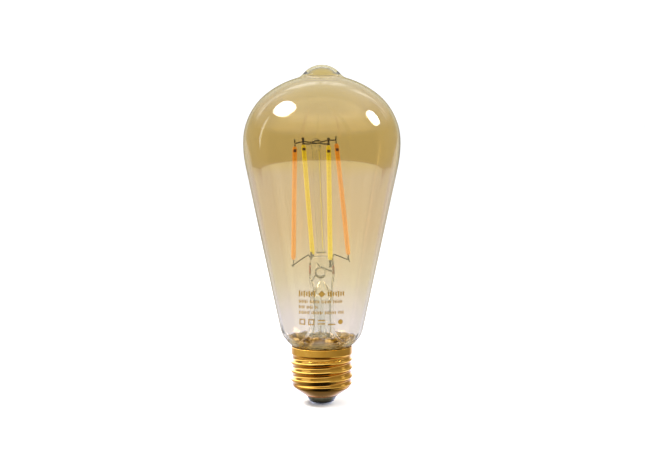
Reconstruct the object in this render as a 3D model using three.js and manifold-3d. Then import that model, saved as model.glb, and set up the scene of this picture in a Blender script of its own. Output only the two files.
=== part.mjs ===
// A tunable-white smart filament lamp: pear-shaped ST64 glass bulb, E27 screw cap, four LED filaments.
// Millimetres, +Z up. The origin is the middle of the centre contact's flat face and the lamp stands on +Z.
// -Y is the front. Pieces that are fused, soldered or glued on a real lamp keep a gap of about 0.1 mm here.

import * as THREE from "three";
import { ParametricGeometry } from "three/addons/geometries/ParametricGeometry.js";
import { mergeVertices } from "three/addons/utils/BufferGeometryUtils.js";
import Module from "manifold-3d";

// ---------------------------------------------------------------- driving dimensions

// Glass bulb. Its outline is a chain of tangent arcs: neck, shoulder, cone, belly, equator, crown, nub.
const LAMP_LENGTH = 141;
const BULB_RADIUS = 32.5;
const GLASS_WALL = 0.9;
const EQUATOR_Z = 109.2;
const CROWN_RADIUS = 37.1;
const CROWN_CENTRE_Z = 100;
const NUB_RADIUS = 10;
const NUB_FILLET = 5;
const BELLY_RADIUS = 48.8;
const CONE_ANGLE = 11.8;
const CONE_END_Z = 32;
const SHOULDER_RADIUS = 12;
const SHOULDER_END_ANGLE = 55;
const NECK_RADIUS = 11;
const NECK_END_Z = 17.5;

// E27 cap. The thread is two arcs of one radius, for crest and root, joined by a straight flank.
const CREST_RADIUS = 26.05 / 2;
const THREAD_PITCH = 25.4 / 7;
const THREAD_ARC = 1.025;
const FLANK_ANGLE = 37.6;
const CREST_Z_AT_X = 19.4; // height of the uppermost crest where it crosses the +X side
const THREAD_TOP_Z = 20.6;
const THREAD_FOOT_Z = 7.6;
const THREAD_FADE = 1.6; // height over which the thread dies out at each end
const COLLAR_RADIUS = 12.8;
const COLLAR_STEP = 0.5; // height over which the shell widens from the thread to the collar
const RIM_Z = 24.3;
const SHELL_WALL = 0.35;
const SHELL_FOOT_Z = 3.6;
const SHELL_FOOT_RADIUS = 6.9;
const TAPER_TOP_Z = 7.4;
const CONTACT_RADIUS = 4.3;
const CONTACT_FLAT_RADIUS = 3.5;
const CONTACT_HEIGHT = 0.8;
const EYELET_RADIUS = 1.3;
const EYELET_BORE = 0.6;
const EYELET_TOP_Z = 6;
const INSULATOR_SIDE = [[5.1, 1.1], [5.8, 1.9], [6.2, 2.8]]; // radius and height below the shell's foot
const INSULATOR_TOP_Z = 6.3;
const INSULATOR_DISH = { radius: 7, z: 5.6 }; // its hollow upper face
const CEMENT_FOOT_Z = 18.4;

// Glass mount: flared stem with a flat press at its top, exhaust tube, and a rod that leans a little.
const STEM_RADIUS = 5;
const STEM_WALL = 0.6;
const FLARE_TOP_Z = 34;
const FLARE_RIM_RADIUS = 11.2;
const FLARE_RIM_Z = 25;
const STEM_BORE_TOP_Z = 50.5;
const PRESS_FOOT_Z = 47.5;
const PRESS_SHOULDER_Z = 57.4;
const PRESS_TOP_Z = 62.2;
const PRESS_DEPTH = 4.4;
const PRESS_FOOT_HALF_WIDTH = 4.4;
const PRESS_HALF_WIDTH = 5.4;
const PRESS_TOP_HALF_WIDTH = 3.3;
const BLOW_HOLE_Z = 55.8;
const BLOW_HOLE_RADIUS = 2.1;
const EXHAUST_RADIUS = 1.8;
const EXHAUST_BORE = 1.1;
const EXHAUST_LENGTH = 22.4;
const EXHAUST_TOP = new THREE.Vector3(-2.1, 0, 46.8);
const EXHAUST_LEAN = 6.8;
const ROD_FOOT_X = -0.3;
const ROD_RADIUS = 1.6;
const ROD_LEAN = 2.7; // degrees towards -X
const ROD_LENGTH = 48.6;
const BUTTON_RADIUS = 2;

// Four filaments stand in a ring that narrows and twists upwards. Heights count from the top of the press.
const FILAMENT_LENGTH = 46.6;
const FILAMENT_WIDTH = 1.8;
const FILAMENT_DEPTH = 1.5;
const FILAMENT_CORNER = 0.55;
const FILAMENT_FOOT = -0.6;
const FOOT_RING_RADIUS = 12;
const HEAD_RING_RADIUS = 10;
const FIRST_AZIMUTH = 18;
const TWIST = 13.4;
const TAB_LENGTH = 3;
const TAB_WIDTH = 1.1;
const TAB_THICKNESS = 0.25;
const TAB_JOINT = -2; // where a lead meets the lower tab, along the filament
const BRIDGE_HEIGHT = 48.1; // where the upper bridge wire meets its tabs, along the filament
const BRIDGE_SPACING = 0.8;

// Wires, and the gaps round pieces that touch on a real lamp.
const WIRE_RADIUS = 0.27;
const GAP = 0.1;
const WIRE_HOLE_RADIUS = WIRE_RADIUS + 0.2;
const DUMET_TOP_Z = 58.2;
const DUMET_FOOT_Z = 54.6;

// The three leads: their place in the press, then points down the stem's bore to the driver board.
const LEADS = {
  common: { x: -4.5, y: 0, down: [[-3, -2.2, 47.5], [-3, -2.2, 34], [-4.4, -1.6, 27], [-6.6, 1.5, 17.4]] },
  warm: { x: 4.5, y: 1, down: [[3.6, 1.1, 47], [3.7, 1.1, 30], [6.2, 1.5, 17.4]] },
  cool: { x: 4.5, y: -0.9, down: [[3.6, -1, 47], [3.7, -1, 30], [5, -1.2, 24], [8, 1.5, 17.4]] },
};

// Driver, inside the cap and the hollow stem.
const DRIVER_FOOT_Z = 7.4;
const DRIVER_TOP_Z = 16.9;
const BOARD_WIDTH = 18.4;
const BOARD_THICKNESS = 1;
const BOARD_Y = 1.5;
const MODULE_THICKNESS = 0.8;
const MODULE_Y = 5.6;
const CHIP_THICKNESS = 1.5;
const CAPACITOR = { radius: 3.15, height: 11, x: -2.8, foot: 8.4 };
const INDUCTOR = { radius: 2.9, height: 6.2, x: 4.4, foot: 8.2 };
const FUSE = { radius: 1.15, height: 6.2, x: -0.6, y: -7.9, foot: 8.4 };
const RECTIFIER = { width: 4.6, height: 3.8, x: -5.6, foot: 8.6 };
const DRIVER_CHIP = { width: 4.9, height: 3.9, x: 5.6, foot: 9.6 };
const MODULE = { width: 8.2, height: 11.6, foot: 8.4 };
const SHIELD = { width: 6.8, height: 6.6, foot: 9.2, thickness: 1.6 };
const ANTENNA_PATH = [[0, 5.6, 20.2], [-0.6, 4.2, 25], [-0.9, 3.1, 32.5]];
const SLEEVE_RADIUS = 11;
const SLEEVE_WALL = 0.25;
const SLEEVE_TOP_Z = 16.3;

// ---------------------------------------------------------------- geometry helpers

const wasm = await Module();
wasm.setup();

const rad = THREE.MathUtils.degToRad;
const deg = THREE.MathUtils.radToDeg;
const at = (r, z) => new THREE.Vector2(r, z);
const vec = (x, y, z) => new THREE.Vector3(x, y, z);

// A point at a radius and azimuth (degrees from +X towards +Y) round the axis.
const polar = (radius, azimuth, z) =>
  vec(radius * Math.cos(rad(azimuth)), radius * Math.sin(rad(azimuth)), z);

// Points along an arc about (r, z), in degrees: 0 points away from the axis and 90 points up.
function arc(r, z, radius, from, to, steps) {
  const points = [];
  for (let i = 0; i <= steps; i++) {
    const angle = rad(from + ((to - from) * i) / steps);
    points.push(at(r + radius * Math.cos(angle), z + radius * Math.sin(angle)));
  }
  return points;
}

// A solid of revolution about Z. The profile runs anticlockwise with r drawn to the right and z up.
const lathe = (profile, segments) => new THREE.LatheGeometry(profile, segments).rotateX(Math.PI / 2);

// A ring: its profile closes on itself.
const ring = (profile, segments) => lathe([...profile, profile[0].clone()], segments);

const block = (width, depth, height) => new THREE.BoxGeometry(width, depth, height);

// An upright cylinder about the origin.
const drum = (radius, height, sides) =>
  new THREE.CylinderGeometry(radius, radius, height, sides).rotateX(Math.PI / 2);

// A straight round bar between two points.
function bar(from, to, radius, sides = 8) {
  const along = to.clone().sub(from);
  const turn = new THREE.Quaternion().setFromUnitVectors(vec(0, 0, 1), along.clone().normalize());
  const middle = from.clone().addScaledVector(along, 0.5);
  return drum(radius, along.length(), sides).applyQuaternion(turn).translate(...middle);
}

// A six-sided round wire along a smooth curve through the points.
function wire(points, steps = 10) {
  const section = new THREE.Shape(arc(0, 0, WIRE_RADIUS, 0, 300, 5));
  const extrudePath = new THREE.CatmullRomCurve3(points, false, "catmullrom", 0.3);
  return new THREE.ExtrudeGeometry(section, { steps, extrudePath, curveSegments: 1 });
}

// A closed geometry as a manifold-3d solid.
function solid(geometry) {
  const bare = geometry.clone();
  bare.deleteAttribute("normal");
  bare.deleteAttribute("uv");
  const merged = mergeVertices(bare, 1e-4);
  const triVerts = new Uint32Array(merged.index.array);
  const vertProperties = merged.attributes.position.array;
  return new wasm.Manifold(new wasm.Mesh({ numProp: 3, vertProperties, triVerts }));
}

function geometryOf(manifold) {
  const mesh = manifold.getMesh();
  const geometry = new THREE.BufferGeometry();
  geometry.setAttribute("position", new THREE.BufferAttribute(mesh.vertProperties, 3));
  geometry.setIndex(new THREE.BufferAttribute(mesh.triVerts, 1));
  geometry.computeVertexNormals();
  return geometry;
}

const join = (first, second) => geometryOf(solid(first).add(solid(second)));

// The first geometry with the tools cut out of it.
const cut = (geometry, tools) =>
  geometryOf(tools.reduce((left, tool) => left.subtract(solid(tool)), solid(geometry)));

// ---------------------------------------------------------------- materials

const finish = (color, roughness, metalness, extra = {}) =>
  new THREE.MeshStandardMaterial({ color, roughness, metalness, ...extra });

const AMBER_GLASS = finish(0xc9a45c, 0.05, 0, { transparent: true, opacity: 0.35 });
const CLEAR_GLASS = finish(0xe6ebe6, 0.05, 0, { transparent: true, opacity: 0.3 });
const WARM_PHOSPHOR = finish(0xf08a24, 0.6, 0);
const COOL_PHOSPHOR = finish(0xe8c73c, 0.6, 0);
const NICKEL = finish(0x5c564c, 0.4, 1);
const DUMET = finish(0xb3604a, 0.35, 1);
const GOLD_BRASS = finish(0xd4a545, 0.25, 1);
const SOLDER = finish(0xb9bab5, 0.4, 1);
const BLACK_GLASS = finish(0x32342b, 0.2, 0);
const CEMENT = finish(0xcfc4a6, 0.9, 0);
const BOARD_GREEN = finish(0x2c6b45, 0.6, 0);
const MODULE_BLUE = finish(0x1f3550, 0.6, 0);
const SHIELD_STEEL = finish(0xb8bbbd, 0.35, 1);
const CHIP_BLACK = finish(0x1a1a1c, 0.5, 0);
const CAPACITOR_FILM = finish(0x20242e, 0.4, 0);
const FERRITE = finish(0x3a3a3c, 0.7, 0);
const RESISTOR_LACQUER = finish(0x6d8f9a, 0.6, 0);
const SLEEVE_FILM = finish(0xe9e4d2, 0.4, 0);
const RED_PLASTIC = finish(0xa6281f, 0.5, 0);
const BLACK_PLASTIC = finish(0x202022, 0.5, 0);

const lamp = new THREE.Group();

function add(name, geometry, material, group = lamp) {
  const mesh = new THREE.Mesh(geometry, material);
  mesh.name = name;
  group.add(mesh);
  return mesh;
}

// ---------------------------------------------------------------- glass bulb

// Half outline of the bulb from the neck's lower end to the nub's tip, moved inwards by inset.
function bulbOutline(inset) {
  // The equator arc touches the crown from inside, and its centre is level with the equator.
  const rise = EQUATOR_Z - CROWN_CENTRE_Z;
  const equatorRadius =
    (CROWN_RADIUS ** 2 - BULB_RADIUS ** 2 - rise ** 2) / (2 * (CROWN_RADIUS - BULB_RADIUS));
  const equatorCentre = BULB_RADIUS - equatorRadius;
  const crownStart = deg(Math.atan2(rise, equatorCentre));

  // The nub's fillet touches the nub and the crown from outside.
  const nubZ = LAMP_LENGTH - NUB_RADIUS;
  const toNub = NUB_RADIUS + NUB_FILLET;
  const toCrown = CROWN_RADIUS + NUB_FILLET;
  const apart = nubZ - CROWN_CENTRE_Z;
  const filletZ = CROWN_CENTRE_Z + (toCrown ** 2 - toNub ** 2 + apart ** 2) / (2 * apart);
  const filletR = Math.sqrt(toNub ** 2 - (filletZ - nubZ) ** 2);
  const crownEnd = deg(Math.atan2(filletZ - CROWN_CENTRE_Z, filletR));
  const nubStart = deg(Math.atan2(filletZ - nubZ, filletR));

  // The cone leaves the belly arc at its own angle and runs down into the shoulder arc.
  const bellyCentre = BULB_RADIUS - BELLY_RADIUS;
  const coneTop = arc(bellyCentre, EQUATOR_Z, BELLY_RADIUS, -CONE_ANGLE, 0, 1)[0];
  const coneEndR = coneTop.x - (coneTop.y - CONE_END_Z) * Math.tan(rad(CONE_ANGLE));
  const shoulderR = coneEndR - SHOULDER_RADIUS * Math.cos(rad(CONE_ANGLE));
  const shoulderZ = CONE_END_Z + SHOULDER_RADIUS * Math.sin(rad(CONE_ANGLE));
  const shoulderEnd = arc(shoulderR, shoulderZ, SHOULDER_RADIUS, -SHOULDER_END_ANGLE, 0, 1)[0];

  // The neck's fillet takes the outline from the shoulder's last slope to straight down.
  const neckFillet = (shoulderEnd.x - NECK_RADIUS) / (1 - Math.cos(rad(SHOULDER_END_ANGLE)));
  const neckZ = shoulderEnd.y - neckFillet * Math.sin(rad(SHOULDER_END_ANGLE));
  const neckTurn = 180 - SHOULDER_END_ANGLE;

  return [
    at(NECK_RADIUS - inset, NECK_END_Z),
    ...arc(NECK_RADIUS + neckFillet, neckZ, neckFillet + inset, 180, neckTurn, 2),
    ...arc(shoulderR, shoulderZ, SHOULDER_RADIUS - inset, -SHOULDER_END_ANGLE, -CONE_ANGLE, 4).slice(1),
    ...arc(bellyCentre, EQUATOR_Z, BELLY_RADIUS - inset, -CONE_ANGLE, 0, 2),
    ...arc(equatorCentre, EQUATOR_Z, equatorRadius - inset, 0, crownStart, 4).slice(1),
    ...arc(0, CROWN_CENTRE_Z, CROWN_RADIUS - inset, crownStart, crownEnd, 3).slice(1),
    ...arc(filletR, filletZ, NUB_FILLET + inset, crownEnd - 180, nubStart - 180, 2).slice(1),
    ...arc(0, nubZ, NUB_RADIUS - inset, nubStart, 90, 3).slice(1),
  ];
}

function glassEnvelope() {
  const inside = bulbOutline(GLASS_WALL).reverse();
  return lathe([...inside, ...bulbOutline(0)], 32);
}

// ---------------------------------------------------------------- screw cap

// Height of the thread's surface above its root, at a distance along the axis from the nearest crest.
function threadHeight(fromCrest) {
  const quarter = THREAD_PITCH / 4;
  const slope = Math.tan(rad(FLANK_ANGLE));
  const arcRun = THREAD_ARC * Math.sin(rad(FLANK_ANGLE));
  const arcDrop = THREAD_ARC * (1 - Math.cos(rad(FLANK_ANGLE)));
  const halfDepth = arcDrop + (quarter - arcRun) * slope;
  const fromLevel = Math.min(fromCrest, 2 * quarter - fromCrest);
  const dropOnArc = THREAD_ARC - Math.sqrt(THREAD_ARC ** 2 - Math.min(fromLevel, arcRun) ** 2);
  const drop = dropOnArc + Math.max(fromLevel - arcRun, 0) * slope;
  return fromCrest < quarter ? 2 * halfDepth - drop : drop;
}

const ROOT_RADIUS = CREST_RADIUS - threadHeight(0);

// The thread's height at a height z and azimuth (degrees), fading out at both ends.
function threadAt(azimuth, z) {
  const turns = (z - CREST_Z_AT_X) / THREAD_PITCH - azimuth / 360;
  const fromCrest = Math.abs(turns - Math.round(turns)) * THREAD_PITCH;
  const inside = Math.min(z - THREAD_FOOT_Z, THREAD_TOP_Z - z) / THREAD_FADE;
  return threadHeight(fromCrest) * THREE.MathUtils.clamp(inside, 0, 1);
}

// The shell's wall as a closed profile without its thread: up the outside, over the rim, down the inside.
function shellProfile() {
  const rows = 26;
  const rowHeight = (THREAD_TOP_Z - THREAD_FOOT_Z) / rows;
  const threadRows = (radius) =>
    Array.from({ length: rows + 1 }, (_, i) => at(radius, THREAD_FOOT_Z + rowHeight * i));
  const side = (offset) => [
    at(SHELL_FOOT_RADIUS - offset, SHELL_FOOT_Z),
    at(ROOT_RADIUS - offset, TAPER_TOP_Z),
    ...threadRows(ROOT_RADIUS - offset),
    at(COLLAR_RADIUS - offset, THREAD_TOP_Z + COLLAR_STEP),
    at(COLLAR_RADIUS - offset, RIM_Z),
  ];
  return [...side(0), ...side(SHELL_WALL).reverse()];
}

function capShell() {
  const profile = shellProfile();
  const point = (u, v, target) => {
    const azimuth = 360 * (u % 1);
    const { x: radius, y: z } = profile[Math.round(v * profile.length) % profile.length];
    const threaded = z >= THREAD_FOOT_Z && z <= THREAD_TOP_Z ? threadAt(azimuth, z) : 0;
    target.copy(polar(radius + threaded, azimuth, z));
  };
  return new ParametricGeometry(point, 30, profile.length);
}

// Black glass that fills the foot of the shell and holds the contact off it.
function capInsulator() {
  const gap = 0.12;
  const eyelet = EYELET_RADIUS + gap;
  const taper = (ROOT_RADIUS - SHELL_FOOT_RADIUS) / (TAPER_TOP_Z - SHELL_FOOT_Z);
  const insideShell = (z) => at(SHELL_FOOT_RADIUS - SHELL_WALL - gap + (z - SHELL_FOOT_Z) * taper, z);
  return ring(
    [
      at(eyelet, CONTACT_HEIGHT + gap),
      at(CONTACT_RADIUS, CONTACT_HEIGHT + gap),
      ...INSULATOR_SIDE.map(([radius, z]) => at(radius, z)),
      insideShell(SHELL_FOOT_Z),
      insideShell(INSULATOR_TOP_Z),
      at(INSULATOR_DISH.radius, INSULATOR_DISH.z),
      at(eyelet, INSULATOR_DISH.z),
    ],
    28,
  );
}

// The contact is a disc with an eyelet that carries the live wire up through the black glass.
function centreContact() {
  return lathe(
    [
      at(0, 0),
      at(CONTACT_FLAT_RADIUS, 0),
      at(CONTACT_RADIUS, CONTACT_HEIGHT / 2),
      at(CONTACT_RADIUS, CONTACT_HEIGHT),
      at(EYELET_RADIUS, CONTACT_HEIGHT),
      at(EYELET_RADIUS, EYELET_TOP_Z),
      at(EYELET_BORE, EYELET_TOP_Z),
      at(EYELET_BORE, 1.4),
      at(0, 1.2),
    ],
    28,
  );
}

// Cement ring between the glass neck and the shell, wider where the collar is wider than the thread.
function cappingCement() {
  const threadSide = ROOT_RADIUS - SHELL_WALL - GAP;
  const collarSide = COLLAR_RADIUS - SHELL_WALL - GAP;
  const neckSide = NECK_RADIUS + GAP;
  return ring(
    [
      at(neckSide, CEMENT_FOOT_Z),
      at(threadSide, CEMENT_FOOT_Z),
      at(threadSide, THREAD_TOP_Z + 0.2),
      at(collarSide, THREAD_TOP_Z + 0.9),
      at(collarSide, RIM_Z - 0.9),
      at(neckSide, THREAD_TOP_Z),
    ],
    36,
  );
}

// ---------------------------------------------------------------- glass mount

// The stem from its flared rim up to where it runs into the press, as a solid without its bore.
function stemOutside({ centre, radius, turn }) {
  return lathe(
    [
      at(0, FLARE_RIM_Z),
      ...arc(centre, FLARE_TOP_Z, radius, 180 + turn, 180, 6),
      ...arc(0, STEM_BORE_TOP_Z - 2, STEM_RADIUS, 0, 90, 4),
    ],
    24,
  );
}

// The stem's bore, open at the flared rim and domed at its top.
function stemBore({ centre, radius, turn }) {
  const inner = STEM_RADIUS - STEM_WALL;
  const flare = arc(centre, FLARE_TOP_Z, radius + STEM_WALL, 180 + turn, 180, 6);
  return lathe([at(0, flare[0].y), ...flare, ...arc(0, STEM_BORE_TOP_Z - inner, inner, 0, 90, 4)], 24);
}

// The flat part of the stem, where the hot glass was pinched shut round the leads.
function stemPress() {
  const bevel = 0.9;
  const foot = PRESS_FOOT_HALF_WIDTH - bevel;
  const wide = PRESS_HALF_WIDTH - bevel;
  const top = PRESS_TOP_HALF_WIDTH - bevel;
  const footZ = PRESS_FOOT_Z + bevel;
  const topZ = PRESS_TOP_Z - bevel;
  const outline = new THREE.Shape();
  outline.moveTo(-foot, footZ);
  outline.lineTo(foot, footZ);
  outline.quadraticCurveTo(wide, footZ + 4, wide, PRESS_SHOULDER_Z - bevel);
  outline.quadraticCurveTo(wide, topZ - 2, top, topZ);
  outline.lineTo(-top, topZ);
  outline.quadraticCurveTo(-wide, topZ - 2, -wide, PRESS_SHOULDER_Z - bevel);
  outline.quadraticCurveTo(-wide, footZ + 4, -foot, footZ);
  const depth = PRESS_DEPTH - 2 * bevel;
  const settings = { depth, bevelSize: bevel, bevelThickness: bevel, bevelSegments: 2, curveSegments: 3 };
  return new THREE.ExtrudeGeometry(outline, settings).translate(0, 0, -depth / 2).rotateX(Math.PI / 2);
}

// Holes for the three leads, straight through the press and then bent in to the stem's bore.
function leadHoles() {
  return Object.values(LEADS).flatMap(({ x, y, down }) => [
    bar(vec(x, y, DUMET_FOOT_Z - 0.3), vec(x, y, PRESS_TOP_Z), WIRE_HOLE_RADIUS),
    bar(vec(x, y, DUMET_FOOT_Z + 0.1), vec(...down[0]), WIRE_HOLE_RADIUS + 0.1),
  ]);
}

function glassStem() {
  const height = FLARE_TOP_Z - FLARE_RIM_Z;
  const flare = FLARE_RIM_RADIUS - STEM_RADIUS;
  const radius = (height ** 2 + flare ** 2) / (2 * flare);
  const shape = { centre: STEM_RADIUS + radius, radius, turn: deg(Math.asin(height / radius)) };
  const blown = vec(0, 0, BLOW_HOLE_Z);
  // The exhaust passage climbs from the bore and leaves by a hole blown in the front of the press.
  const passage = bar(EXHAUST_TOP, blown, EXHAUST_BORE, 12);
  const blowHole = bar(blown, vec(0, -PRESS_DEPTH, BLOW_HOLE_Z), BLOW_HOLE_RADIUS, 16);
  return cut(join(stemOutside(shape), stemPress()), [stemBore(shape), passage, blowHole, ...leadHoles()]);
}

// The tube that emptied and filled the bulb, open at the top and sealed at its lower tip.
function exhaustTube() {
  const tip = -EXHAUST_LENGTH;
  return lathe(
    [
      at(0, tip),
      ...arc(0, tip + EXHAUST_RADIUS, EXHAUST_RADIUS, -45, 0, 2),
      at(EXHAUST_RADIUS, 0),
      at(EXHAUST_BORE, 0),
      at(EXHAUST_BORE, tip + 3),
      at(0, tip + 2),
    ],
    14,
  );
}

// The rod that carries the upper ends of the filaments, with a melted button that holds the bridge wires.
function supportRod(bridges) {
  const rod = lathe(
    [
      at(0, 2 * GAP),
      at(ROD_RADIUS + 0.5, 2 * GAP),
      at(ROD_RADIUS, 1.6),
      at(ROD_RADIUS, ROD_LENGTH - 2 * BUTTON_RADIUS),
      ...arc(0, ROD_LENGTH - BUTTON_RADIUS, BUTTON_RADIUS, -30, 90, 5),
    ],
    14,
  );
  return cut(rod, bridges.map(({ ends }) => bar(...ends, WIRE_HOLE_RADIUS)));
}

// ---------------------------------------------------------------- filaments

function filamentStrip() {
  const x = FILAMENT_WIDTH / 2 - FILAMENT_CORNER;
  const y = FILAMENT_DEPTH / 2 - FILAMENT_CORNER;
  const section = new THREE.Shape([
    ...arc(x, y, FILAMENT_CORNER, 0, 90, 2),
    ...arc(-x, y, FILAMENT_CORNER, 90, 180, 2),
    ...arc(-x, -y, FILAMENT_CORNER, 180, 270, 2),
    ...arc(x, -y, FILAMENT_CORNER, 270, 360, 2),
  ]);
  return new THREE.ExtrudeGeometry(section, { depth: FILAMENT_LENGTH, steps: 1, bevelEnabled: false });
}

// A group whose Z runs up one filament and whose Y faces outwards, with the strip and its two metal tabs.
function addFilament({ name, phosphor }, index, group) {
  const azimuth = FIRST_AZIMUTH + 90 * index;
  const foot = polar(FOOT_RING_RADIUS, azimuth, FILAMENT_FOOT);
  const head = polar(HEAD_RING_RADIUS, azimuth + TWIST, FILAMENT_FOOT + FILAMENT_LENGTH);
  const up = head.clone().sub(foot).normalize();
  const outwards = polar(1, azimuth, 0).projectOnPlane(up).normalize();
  const across = outwards.clone().cross(up);
  const filament = new THREE.Group();
  filament.quaternion.setFromRotationMatrix(new THREE.Matrix4().makeBasis(across, outwards, up));
  filament.position.copy(foot);
  group.add(filament);
  add(name, filamentStrip(), phosphor, filament);
  const tabShape = block(TAB_WIDTH, TAB_THICKNESS, TAB_LENGTH);
  const tab = (end) => add(`${name}_${end}_tab`, tabShape, NICKEL, filament);
  tab("bottom").position.z = -GAP - TAB_LENGTH / 2;
  tab("top").position.z = FILAMENT_LENGTH + GAP + TAB_LENGTH / 2;
  filament.updateWorldMatrix(true, false);
  return filament;
}

// A point just inside a filament's tab, in the lamp's own frame, at a height along the filament.
const besideTab = (filament, height) =>
  filament.localToWorld(vec(0, -TAB_THICKNESS / 2 - WIRE_RADIUS - GAP, height));

// ---------------------------------------------------------------- leads

// The nickel top of a lead, from its dumet seal over a knee to the tab it feeds.
function leadTop({ x, y }, tab, kneeZ) {
  const knee = vec(x, y, kneeZ);
  const reach = knee.clone().lerp(tab, 0.5).add(vec(0, 0, 0.4));
  return wire([vec(x, y, DUMET_TOP_Z + GAP), vec(x, y, kneeZ - 1.2), knee, reach, tab]);
}

// The common lead's branch to a second filament starts beside its knee.
function leadBranch({ x, y }, tab, kneeZ) {
  const start = vec(x - 2 * WIRE_RADIUS - GAP, y - 0.2, kneeZ);
  const reach = start.clone().lerp(tab, 0.5).add(vec(0, 0, 0.3));
  return wire([start, reach, tab], 6);
}

// The dumet seal and the wire that runs from it down the stem's bore to the driver board.
function addLowerLead(name, { x, y, down }) {
  const seal = bar(vec(x, y, DUMET_FOOT_Z), vec(x, y, DUMET_TOP_Z), WIRE_RADIUS, 6);
  add(`${name}_lead_dumet`, seal, DUMET);
  const start = vec(x, y, DUMET_FOOT_Z - 2 * GAP);
  add(`${name}_lead_outer`, wire([start, ...down.map((point) => vec(...point))], 12), NICKEL);
}

// ---------------------------------------------------------------- driver

// An insulating film tube lines the threaded part of the shell round the boards.
function boardSleeve() {
  return ring(
    [
      at(SLEEVE_RADIUS - SLEEVE_WALL, DRIVER_FOOT_Z),
      at(SLEEVE_RADIUS, DRIVER_FOOT_Z),
      at(SLEEVE_RADIUS, SLEEVE_TOP_Z),
      at(SLEEVE_RADIUS - SLEEVE_WALL, SLEEVE_TOP_Z),
    ],
    32,
  );
}

// Places a driver piece of a given height by the middle of its foot.
const stand = (mesh, x, y, foot, height) => mesh.position.set(x, y, foot + height / 2);

function addDriver() {
  const height = DRIVER_TOP_Z - DRIVER_FOOT_Z;
  const front = BOARD_Y - BOARD_THICKNESS / 2 - GAP;
  const chipY = BOARD_Y + BOARD_THICKNESS / 2 + GAP + CHIP_THICKNESS / 2;
  const board = add("driver_board", block(BOARD_WIDTH, BOARD_THICKNESS, height), BOARD_GREEN);
  stand(board, 0, BOARD_Y, DRIVER_FOOT_Z, height);
  const round = (name, { radius, height, x, y = front - radius, foot }, material, sides) =>
    stand(add(name, drum(radius, height, sides), material), x, y, foot, height);
  round("bulk_capacitor", CAPACITOR, CAPACITOR_FILM, 20);
  round("power_inductor", INDUCTOR, FERRITE, 18);
  round("fuse_resistor", FUSE, RESISTOR_LACQUER, 12);
  const chip = (name, { width, height, x, foot }) =>
    stand(add(name, block(width, CHIP_THICKNESS, height), CHIP_BLACK), x, chipY, foot, height);
  chip("bridge_rectifier", RECTIFIER);
  chip("driver_chip", DRIVER_CHIP);
}

function addWirelessModule() {
  const board = add("wifi_module_board", block(MODULE.width, MODULE_THICKNESS, MODULE.height), MODULE_BLUE);
  stand(board, 0, MODULE_Y, MODULE.foot, MODULE.height);
  const shieldY = MODULE_Y + MODULE_THICKNESS / 2 + GAP + SHIELD.thickness / 2;
  const shield = add("wifi_shield_can", block(SHIELD.width, SHIELD.thickness, SHIELD.height), SHIELD_STEEL);
  stand(shield, 0, shieldY, SHIELD.foot, SHIELD.height);
  // The aerial stands above the metal cap, inside the hollow stem.
  add("wifi_antenna", wire(ANTENNA_PATH.map((point) => vec(...point)), 8), DUMET);
}

// The live wire runs from the eyelet to the foot of the fuse.
function liveWire() {
  const { x, y, foot } = FUSE;
  const bend = vec(x + 0.1, y + 0.7, foot - 1.2);
  return wire([vec(0, 0, 2.2), vec(0, -0.1, 6.4), bend, vec(x, y, foot - 0.2)], 14);
}

// The neutral wire climbs over the sleeve and down between it and the shell.
function neutralWire() {
  const azimuth = 8;
  const inside = 10;
  const outside = ROOT_RADIUS - SHELL_WALL - WIRE_RADIUS - 0.15;
  const over = (SLEEVE_TOP_Z + NECK_END_Z) / 2;
  const path = [
    [inside, over - 1.6],
    [inside + 0.2, over - 0.2],
    [(inside + outside) / 2, over],
    [outside, over - 0.5],
    [outside, over - 3],
  ];
  return wire(path.map(([radius, z]) => polar(radius, azimuth, z)), 14);
}

// ---------------------------------------------------------------- assembly

add("glass_envelope", glassEnvelope(), AMBER_GLASS);
add("cap_shell", capShell(), GOLD_BRASS);
add("cap_insulator", capInsulator(), BLACK_GLASS);
add("centre_contact", centreContact(), SOLDER);
add("capping_cement", cappingCement(), CEMENT);

add("glass_stem", glassStem(), CLEAR_GLASS);
const exhaust = add("exhaust_tube", exhaustTube(), CLEAR_GLASS);
exhaust.position.copy(EXHAUST_TOP);
exhaust.rotation.y = -rad(EXHAUST_LEAN);

// The rod, the filaments and the bridge wires lean together from the top of the press.
const mount = new THREE.Group();
mount.position.set(ROD_FOOT_X, 0, PRESS_TOP_Z);
mount.rotation.y = -rad(ROD_LEAN);
lamp.add(mount);

// Anticlockwise from the right. Opposite filaments are one colour and share a bridge wire at the top.
const [warmRight, coolBack, warmLeft, coolFront] = [
  { name: "warm_filament_right", phosphor: WARM_PHOSPHOR },
  { name: "cool_filament_back", phosphor: COOL_PHOSPHOR },
  { name: "warm_filament_left", phosphor: WARM_PHOSPHOR },
  { name: "cool_filament_front", phosphor: COOL_PHOSPHOR },
].map((filament, index) => addFilament(filament, index, mount));

function bridge(name, pair, height) {
  const ends = pair.map((filament) => mount.worldToLocal(besideTab(filament, height)));
  return { name, ends };
}

const bridges = [
  bridge("warm_bridge_wire", [warmRight, warmLeft], BRIDGE_HEIGHT),
  bridge("cool_bridge_wire", [coolBack, coolFront], BRIDGE_HEIGHT - BRIDGE_SPACING),
];
bridges.forEach(({ name, ends }) => add(name, bar(...ends, WIRE_RADIUS), NICKEL, mount));
add("support_rod", supportRod(bridges), CLEAR_GLASS, mount);

add("common_lead_inner", leadTop(LEADS.common, besideTab(coolBack, TAB_JOINT), 63.4), NICKEL);
add("common_branch_wire", leadBranch(LEADS.common, besideTab(warmLeft, TAB_JOINT), 62.6), NICKEL);
add("warm_lead_inner", leadTop(LEADS.warm, besideTab(warmRight, TAB_JOINT), 62.4), NICKEL);
add("cool_lead_inner", leadTop(LEADS.cool, besideTab(coolFront, TAB_JOINT), 61.6), NICKEL);
Object.entries(LEADS).forEach(([name, lead]) => addLowerLead(name, lead));

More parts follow.
